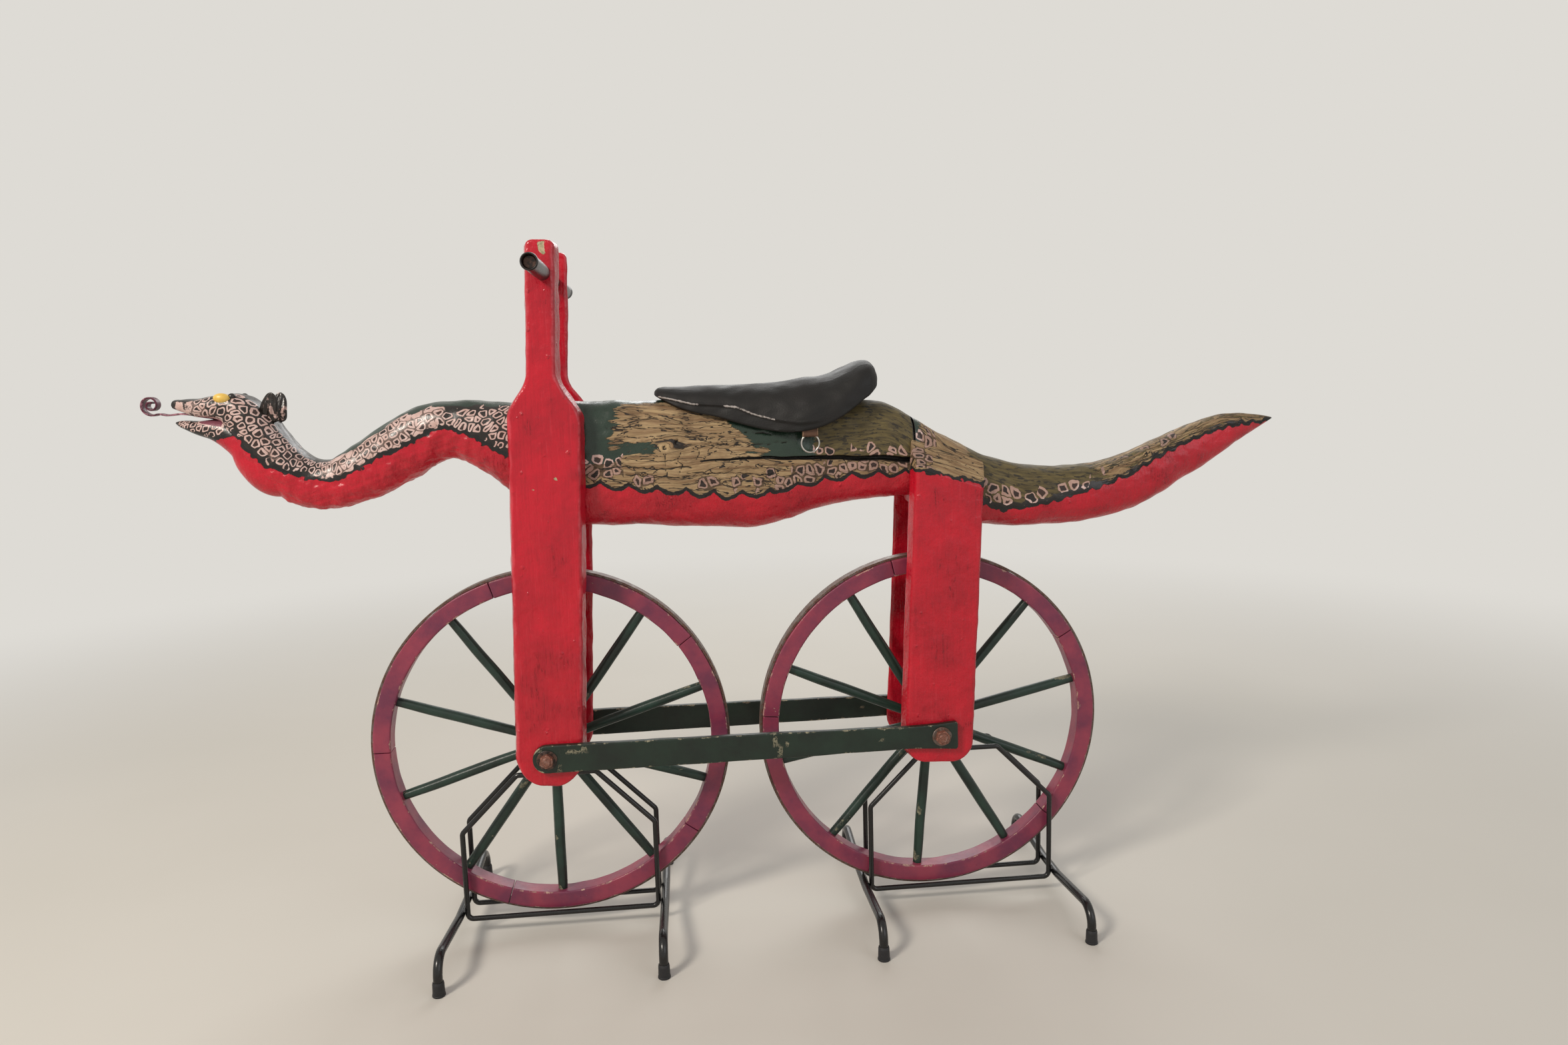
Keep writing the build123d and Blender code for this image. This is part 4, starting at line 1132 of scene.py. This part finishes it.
def nut(name, end, side, material, washer_iron):
    """A washer with a worn edge and a hexagonal nut, the rear one rounded off by wear."""
    low, top, radius = bar_outer, bar_outer + washer_thickness, washer_radius
    width, angle = {"front": (nut_width * 0.88, 8), "rear": (nut_width * 0.95, 17)}[end]
    washer = turned([(1, low), (radius - 0.8, low), (radius, low + 0.7), (radius, low + 1.7),
                     (radius - 0.9, top), (1, top)], 56)
    turn = about_y(radians(angle)) @ z_to_y(side)
    pieces = ((f"{name}_{end}_washer", washer, washer_iron, None),
              (f"{name}_{end}_axle_nut", hexagon(width, top, nut_outer), material, f"{name}_{end}_nut"))
    for piece, form, iron_kind, node in pieces:
        form["points"] += 0.25 * ripple(form["points"], 9, 120)[:, None] * [1, 1, 0.3]
        place(piece, moved(form, turn, axles[f"{end}_wheel"]), iron_kind, "rusty_iron", node)


def axle_rod(end, material):
    """A round bar with a rolled thread at each end: ridges 1.5 mm apart over the last 22 mm."""
    half, pitch = axle_half_length, 1.5
    thread = np.arange(half - 22, half - 1.5, pitch / 4)[::-1]
    ridge = axle_radius - 0.35 + 0.35 * np.cos(2 * pi * (thread - half) / pitch)
    profile = mirrored([(axle_radius - 2, half), *zip(ridge, thread)])
    form = moved(turned(profile, 32), z_to_y(1), axles[f"{end}_wheel"])
    place(f"{end}_axle_rod", form, material, "rusty_iron", f"{end}_axle")


def handlebar(iron_paint, horn):
    """The bar through both necks, and a hollow-ended grip on each side."""
    half, radius = handle_half_length, handle_radius
    bar = mirrored([(radius - 1.2, half), (radius, half - 1.2), (radius, board_outer)])
    form = moved(turned(bar, 36), z_to_y(1), handle)
    place("black_iron_handlebar", form, iron_paint, "dark_iron", "handlebar")
    low, high, r, bore = grip_inner, grip_outer, grip_radius, handle_radius + 0.15
    swell = [(r * (0.88 + 0.06 * np.sin(pi * t) ** 0.8), low + 3 + (high - 14 - low) * t)
             for t in np.linspace(0, 1, 26)]
    profile = [(bore, low), (r - 2.0, low), (r - 1.4, low + 1.0), *swell, (r - 0.7, high - 8.5),
               (r - 0.1, high - 7), (r, high - 4), (r - 0.5, high - 1.2), (r - 1.6, high),
               (r - 2.6, high - 0.6), (bore + 0.2, high - 2.5), (bore, high - 6)]
    for name, side in SIDES:
        form = moved(turned(profile, 48, closed=True), z_to_y(side), handle * [1, 0, 1])
        place(f"{name}_hollow_grip", form, horn, "grip_horn", f"{name}_grip")


def trunk_breadth(x, z):
    """Half breadth of the trunk at a height, from the same superellipse as the trunk under the saddle."""
    top = np.interp(x, [150, 234, 319, 426, 527, 575, 622, 640], [592, 591, 589, 587, 583, 581, 566, 554])
    low, wide = (np.interp(x, [150, 234, 319, 370, 426, 475, 527, 640], values) for values in (
        [381, 374, 369, 368, 380, 396, 407, 414], [60, 64, 65.5, 65.5, 64, 61.5, 59, 55.6]))
    power = np.interp(x, [150, 234, 319, 426, 527, 640], [2.7, 2.35, 2.3, 2.4, 2.8, 3.1])
    up = np.clip((z - (top + low) / 2) / ((top - low) / 2), -1, 1)
    return wide * (1 - np.abs(up) ** power) ** (1 / power) * (z < top + 1)


def saddle(leather):
    """A leather seat pressed to shape: at each station an arch from skirt to skirt, 5 mm thick, that rises to
    the cantle behind. A step on each side shows the seat lapped over the flap below it."""
    # x, height at the middle, skirt height, half width, arch power
    table = np.array([
        (203.5, 606, 601, 8, 2.0), (207, 609, 597, 20, 2.1), (216, 611, 592, 32, 2.2),
        (232, 611.5, 584, 42, 2.3), (258, 611, 574, 51, 2.3), (305, 612, 563, 59, 2.3),
        (343, 613, 551, 67, 2.3), (385, 615, 540, 76, 2.3), (430, 619, 535, 84, 2.3),
        (458, 622.5, 538, 88, 2.3), (497, 629, 551, 90, 2.3), (531, 641.5, 571, 86, 2.4),
        (553, 650.5, 587, 79, 2.5), (567, 648.5, 597, 71, 2.6), (574, 642, 606, 60, 2.5),
        (578.5, 633, 615, 44, 2.3)])
    nose, cantle = table[[0, -1], 0]
    x = nose + (cantle - nose) * (1 - np.cos(np.linspace(0, pi, 170))) / 2
    top, skirt, wide, power = through(table[:, 0], table[:, 1:], x).T[..., None]
    across, share = shares(np.linspace(-pi / 2, pi / 2, 141), power)
    rel = stacked(x[:, None], across * wide, skirt + (top - skirt) * share)
    xs, y = rel[..., 0], rel[..., 1].copy()
    # the seat dips a little along the middle and behind the nose
    rel[..., 2] -= 1.6 * bell(y, 26) * between(xs, 300, 470, 90)
    # the lap: above the line the leather stands 2.5 mm proud of the flap
    lap = above(rel, [(200, 597), (222, 592), (266, 581), (309, 577.5), (337, 574), (363, 563), (404, 551),
                      (440, 545), (520, 552), (600, 610)])
    lap_here = between(xs, 206, 470, 30) * (np.abs(y) > 4)
    step = (eased(np.clip(lap / 3.0, 0, 1)) + 0.35 * bell(lap - 2.5, 2.2)) * lap_here * 2.6
    out = unit(np.cross(*np.gradient(rel, axis=(0, 1))), 1e-9)
    out *= np.sign((out[..., 2]).sum())
    dimples = 1.1 * ripple(rel, 75, 130) + 0.35 * ripple(rel, 24, 131)
    thickness, clearance, least_wall = 4.5, 1.2, 3.2
    outer, inner = rel + out * (step + dimples)[..., None], rel - out * thickness
    # both walls stay outside the trunk
    sign, on_a_side = np.where(y < 0, -1.0, 1.0), share < 0.86
    clear = np.where(on_a_side, trunk_breadth(inner[..., 0], inner[..., 2]) + clearance, 0)
    inner[..., 1] = sign * np.maximum(np.abs(inner[..., 1]), clear)
    clear = np.where(on_a_side, np.abs(inner[..., 1]) + least_wall, 0)
    outer[..., 1] = sign * np.maximum(np.abs(outer[..., 1]), clear)
    rim = 0.5 * (outer[:, [0, -1]] + inner[:, [0, -1]]) - [0, 0, 1.8]
    loop = np.concatenate([outer, rim[:, 1:], inner[:, ::-1], rim[:, :1]], 1)
    # a pale line along the lap's step on the nose's side is a painted highlight, read by the leather as its
    # edge marks
    no_lip_highlight = (1 - between(xs, 200, 285, 22) - between(xs, 306, 412, 24)).clip(0, 1)
    lip = np.abs(lap - 2.2) * 0.9 + 40 * no_lip_highlight
    marks = {"edge_mm": np.pad(lip, ((0, 0), (0, loop.shape[1] - lip.shape[1])), constant_values=30.0)}
    form = grid(loop + datum, marks)
    piece = place("pressed_leather_saddle", form, leather, "saddle_leather", "saddle", sharp=60)


def saddle_fittings(leather, steel):
    """Under each skirt a folded leather tab and, in its fold, a round wire ring."""
    rings, tabs = [], []
    middle = ring_middle * [1, 0, 1]
    half_width, thick, bend = (tab_high[0] - tab_low[0]) / 2, 1.2, 2.9
    wire_top = middle[2] + ring_radius
    angle, turn = circle(72), np.linspace(0, pi, 12)
    path = stacked(ring_radius * np.sin(angle), 0.0, ring_radius * np.cos(angle))
    # the strap runs down inside, round the wire and up outside
    drop = np.linspace(tab_high[2] + 6, wire_top, 12)
    fold = np.concatenate([
        np.stack([np.full(11, -bend), drop[:-1]], 1),
        np.stack([-bend * np.cos(turn), wire_top - bend * np.sin(turn) - 0.4], 1),
        np.stack([np.full(11, bend), drop[::-1][1:]], 1)])
    across, out, edge = plank(np.full(len(fold), half_width), np.full(len(fold), thick), 0.9, (10, 2), 3)
    x, y, z = ribbon(fold, across, out)
    for side in (-1, 1):
        rings.append(wire(path + middle + [0, side * ring_side, 0], wire_radius, 14))
        tabs.append(grid(stacked(middle[0] + x, side * (ring_side + y), z), {"edge_mm": edge * 0.8}))
    place("wire_saddle_rings", rings, steel, "bright_steel", "saddle_rings")
    place("folded_leather_tabs", tabs, leather, "tab_leather", "saddle_ring_tabs")


def rubber_feet(end, material):
    """Four cone-shaped rubber cups, each with a rim line and a lip round the tube."""
    low, high = box(f"{end}_stand_feet")
    base, lip, height = 10.5, 8.8, high[2] - low[2]
    profile = [(0.5, 0), (base - 0.9, 0), (base, 0.9), (base - 0.1, 3.0), (base - 0.75, 3.5),
               (base - 0.7, 4.4), (lip + 0.55, height - 5), (lip + 0.55, height - 3.4),
               (lip + 0.1, height - 2.8), (lip, height - 0.9), (lip - 0.7, height), (7.6, height - 0.3),
               (0.5, height - 1.5)]
    forms = [moved(turned(profile, 40), np.eye(3), (x, y, low[2]))
             for x in (low[0] + base, high[0] - base) for y in (low[1] + base, high[1] - base)]
    place(f"{end}_stand_rubber_feet", forms, material, "foot_rubber", f"{end}_stand_feet")


# Studio

def shows_backdrop(tree):
    """1 for the rays that show the pale backdrop: from the camera, off gloss, or through something clear."""
    camera_ray = add(tree, "LightPath", output="Is Camera Ray")
    rays = camera_ray.node.outputs
    seen = add(tree, "Math", {0: camera_ray, 1: rays["Is Glossy Ray"]}, operation="MAXIMUM")
    return add(tree, "Math", {0: seen, 1: rays["Is Transmission Ray"]}, operation="MAXIMUM")


def floor_paint():
    """A plain matt floor that fades into the backdrop's colour far from the object."""
    m, where = new_material("pale_studio_floor")
    far = add(m, "VectorMath", {0: where}, output=1, operation="LENGTH")
    cloud = add(m, "TexNoise", {"Vector": where, "Scale": 1.5, "Detail": 3.0})
    colour = coats(m, "#DAD6CE", (cloud, "#D2CEC5"))
    near = add(m, "BsdfPrincipled", {"Base Color": colour, "Roughness": 0.75})
    glow = add(m, "Emission", {"Color": BACKDROP, "Strength": 1.0})
    fade = partly(m, far, 1.3, 4.2, shows_backdrop(m))
    add(m, "OutputMaterial", {"Surface": add(m, "MixShader", {0: fade, 1: near, 2: glow})})
    return m


def studio():
    """A round pale floor, a pale world that lights softly, and three large lamps."""
    radius = np.array([0.02, 1500, 4000, 9000, 40000])[:, None]
    angle = circle(96)
    form = grid(stacked(radius * np.cos(angle), radius * np.sin(angle), 0.0), ends=False)
    mesh = bpy.data.meshes.new("studio_floor")
    mesh.from_pydata((form["points"] * MM).tolist(), [], form["quads"].tolist())
    if mesh.polygons[0].normal.z < 0:
        mesh.flip_normals()
    mesh.materials.append(floor_paint())
    floor = bpy.data.objects.new("studio_floor", mesh)
    bpy.context.scene.collection.objects.link(floor)

    world = bpy.data.worlds.new("pale_studio")
    world.use_nodes = True
    bpy.context.scene.world = world
    world.node_tree.nodes.clear()
    shown = add(world, "Background", {"Color": BACKDROP, "Strength": 1.0})
    lit = add(world, "Background", {"Color": "#F4F1EC", "Strength": 0.42})
    surface = add(world, "MixShader", {0: shows_backdrop(world), 1: lit, 2: shown})
    add(world, "OutputWorld", {"Surface": surface})

    # name, place and size in metres, power in watts, colour; all point at the object's middle
    lamps = [
        ("key_lamp", (-2.7, -2.5, 3.2), 0.9, 112, "#FFF6EA"),
        ("fill_lamp", (2.6, -2.9, 2.2), 2.2, 18, "#F2F5FF"),
        ("back_lamp", (0.6, 3.1, 3.0), 2.4, 56, "#FFFFFF"),
    ]
    for name, spot, size, power, colour in lamps:
        data = bpy.data.lights.new(name, "AREA")
        data.size, data.energy, data.color = size, power, linear(colour)[:3]
        lamp = bpy.data.objects.new(name, data)
        toward = Vector(spot) - Vector((0, 0, 0.6))
        lamp.matrix_world = Matrix.Translation(spot) @ toward.to_track_quat("Z", "Y").to_matrix().to_4x4()
        bpy.context.scene.collection.objects.link(lamp)
    bpy.context.scene.view_settings.view_transform = "Standard"


def camera():
    """The photograph's view: its place, its turns in radians and its lens on a 36 mm sensor."""
    spot = (-0.0892, -1.7314, 0.944)
    yaw, pitch, roll = 0.0948, 0.1314, 0.0266
    forward = np.array([sin(yaw) * cos(pitch), cos(yaw) * cos(pitch), -sin(pitch)])
    level = np.array([cos(yaw), -sin(yaw), 0])
    down = np.cross(forward, level)
    right = cos(roll) * level + sin(roll) * down
    up = sin(roll) * level - cos(roll) * down
    data = bpy.data.cameras.new("camera")
    data.sensor_width, data.lens = 36.0, 22.896
    view = bpy.data.objects.new("camera", data)
    turn = Matrix(np.column_stack([right, up, -forward]).tolist()).to_4x4()
    view.matrix_world = Matrix.Translation(spot) @ turn
    bpy.context.scene.collection.objects.link(view)
    bpy.context.scene.camera = view


def build():
    """Makes the materials and then every piece, the studio and the camera."""
    skin = painted_skin()
    red = red_paint()
    # fresh and clouded colour, what lies under the paint, chip rate, low and high roughness
    green = worn_paint("green_oil_paint_on_oak", "#172B20", "#0F1C15", "#AFA88C", 0.73, 0.34, 0.5)
    spoke_green = worn_paint("worn_green_spoke_paint", "#1F3A30", "#12211B", "#8C8A72", 0.70, 0.30, 0.46)
    plum = worn_paint("plum_oil_paint_on_ash", "#963A50", "#702E4A", "#C9A592", 0.69, 0.26, 0.44)
    tongue_coat = worn_paint("plum_paint_on_strap_iron", "#5E1A33", "#3E1124", "#C98FA0", 0.78, 0.3, 0.42,
                             film=0.15)
    # the saddle's pale line colour is a painted highlight along its lap
    saddle_hide = smooth_leather("blacked_saddle_leather", "#080706", "#120E0D", "#C9C1BE", 0.46, 0.62)
    tab_hide = smooth_leather("brown_tab_leather", "#6A4A38", "#4A3428", "#9C7C62", 0.5, 0.66)
    # bare metal, rust, rust share, metallic, low and high roughness, pits
    rusty = iron("rusted_wrought_iron", "#94746A", "#9C6654", 0.85, 0.3, 0.36, 0.6, 0.22)
    band_iron = iron("worn_tyre_iron", "#70655F", "#73574A", 0.6, 0.6, 0.36, 0.58, 0.3)
    bar_iron = iron("blacked_handlebar_iron", "#2E2623", "#664A3E", 0.55, 0.4, 0.36, 0.52, 0.2)
    steel = iron("bright_drawn_wire", "#B9B4AE", "#8A7A6C", 0.05, 1.0, 0.2, 0.34, 0.08)
    horn = enamel("black_horn_grip", "#0D0A0A", "#1D1614", 0.24, 0.42)
    stand_black = enamel("black_stand_enamel", "#0E0E0F", "#191919", 0.16, 0.3, 0.15)
    rubber = enamel("black_foot_rubber", "#17171A", "#222225", 0.5, 0.68, 0.2)
    yolk = enamel("yellow_eye_paint", "#F4D67A", "#E6B94E", 0.25, 0.4, 0.5)

    serpent_trunk(skin)
    serpent_tail(skin)
    serpent_head(skin)
    serpent_tongue(tongue_coat)
    for name, side in SIDES:
        eye(name, side, yolk)
        front_board(name, side, red)
        rear_board(name, side, skin)
        link_bar(name, side, green)
        nut(name, "front", side, rusty, bar_iron)
        nut(name, "rear", side, rusty, band_iron)
    for end in ENDS:
        axle_rod(end, rusty)
    for end in ENDS:
        wheel(end, plum, spoke_green, band_iron)
    handlebar(bar_iron, horn)
    saddle(saddle_hide)
    saddle_fittings(tab_hide, steel)
    for end in ENDS:
        rubber_feet(end, rubber)
        for part in ("left_hoop", "right_hoop", "front_leg", "rear_leg"):
            node = frame["nodes"][f"{end}_stand_{part}"]
            node.data.materials.clear()
            node.data.materials.append(stand_black)
    studio()
    camera()


build()
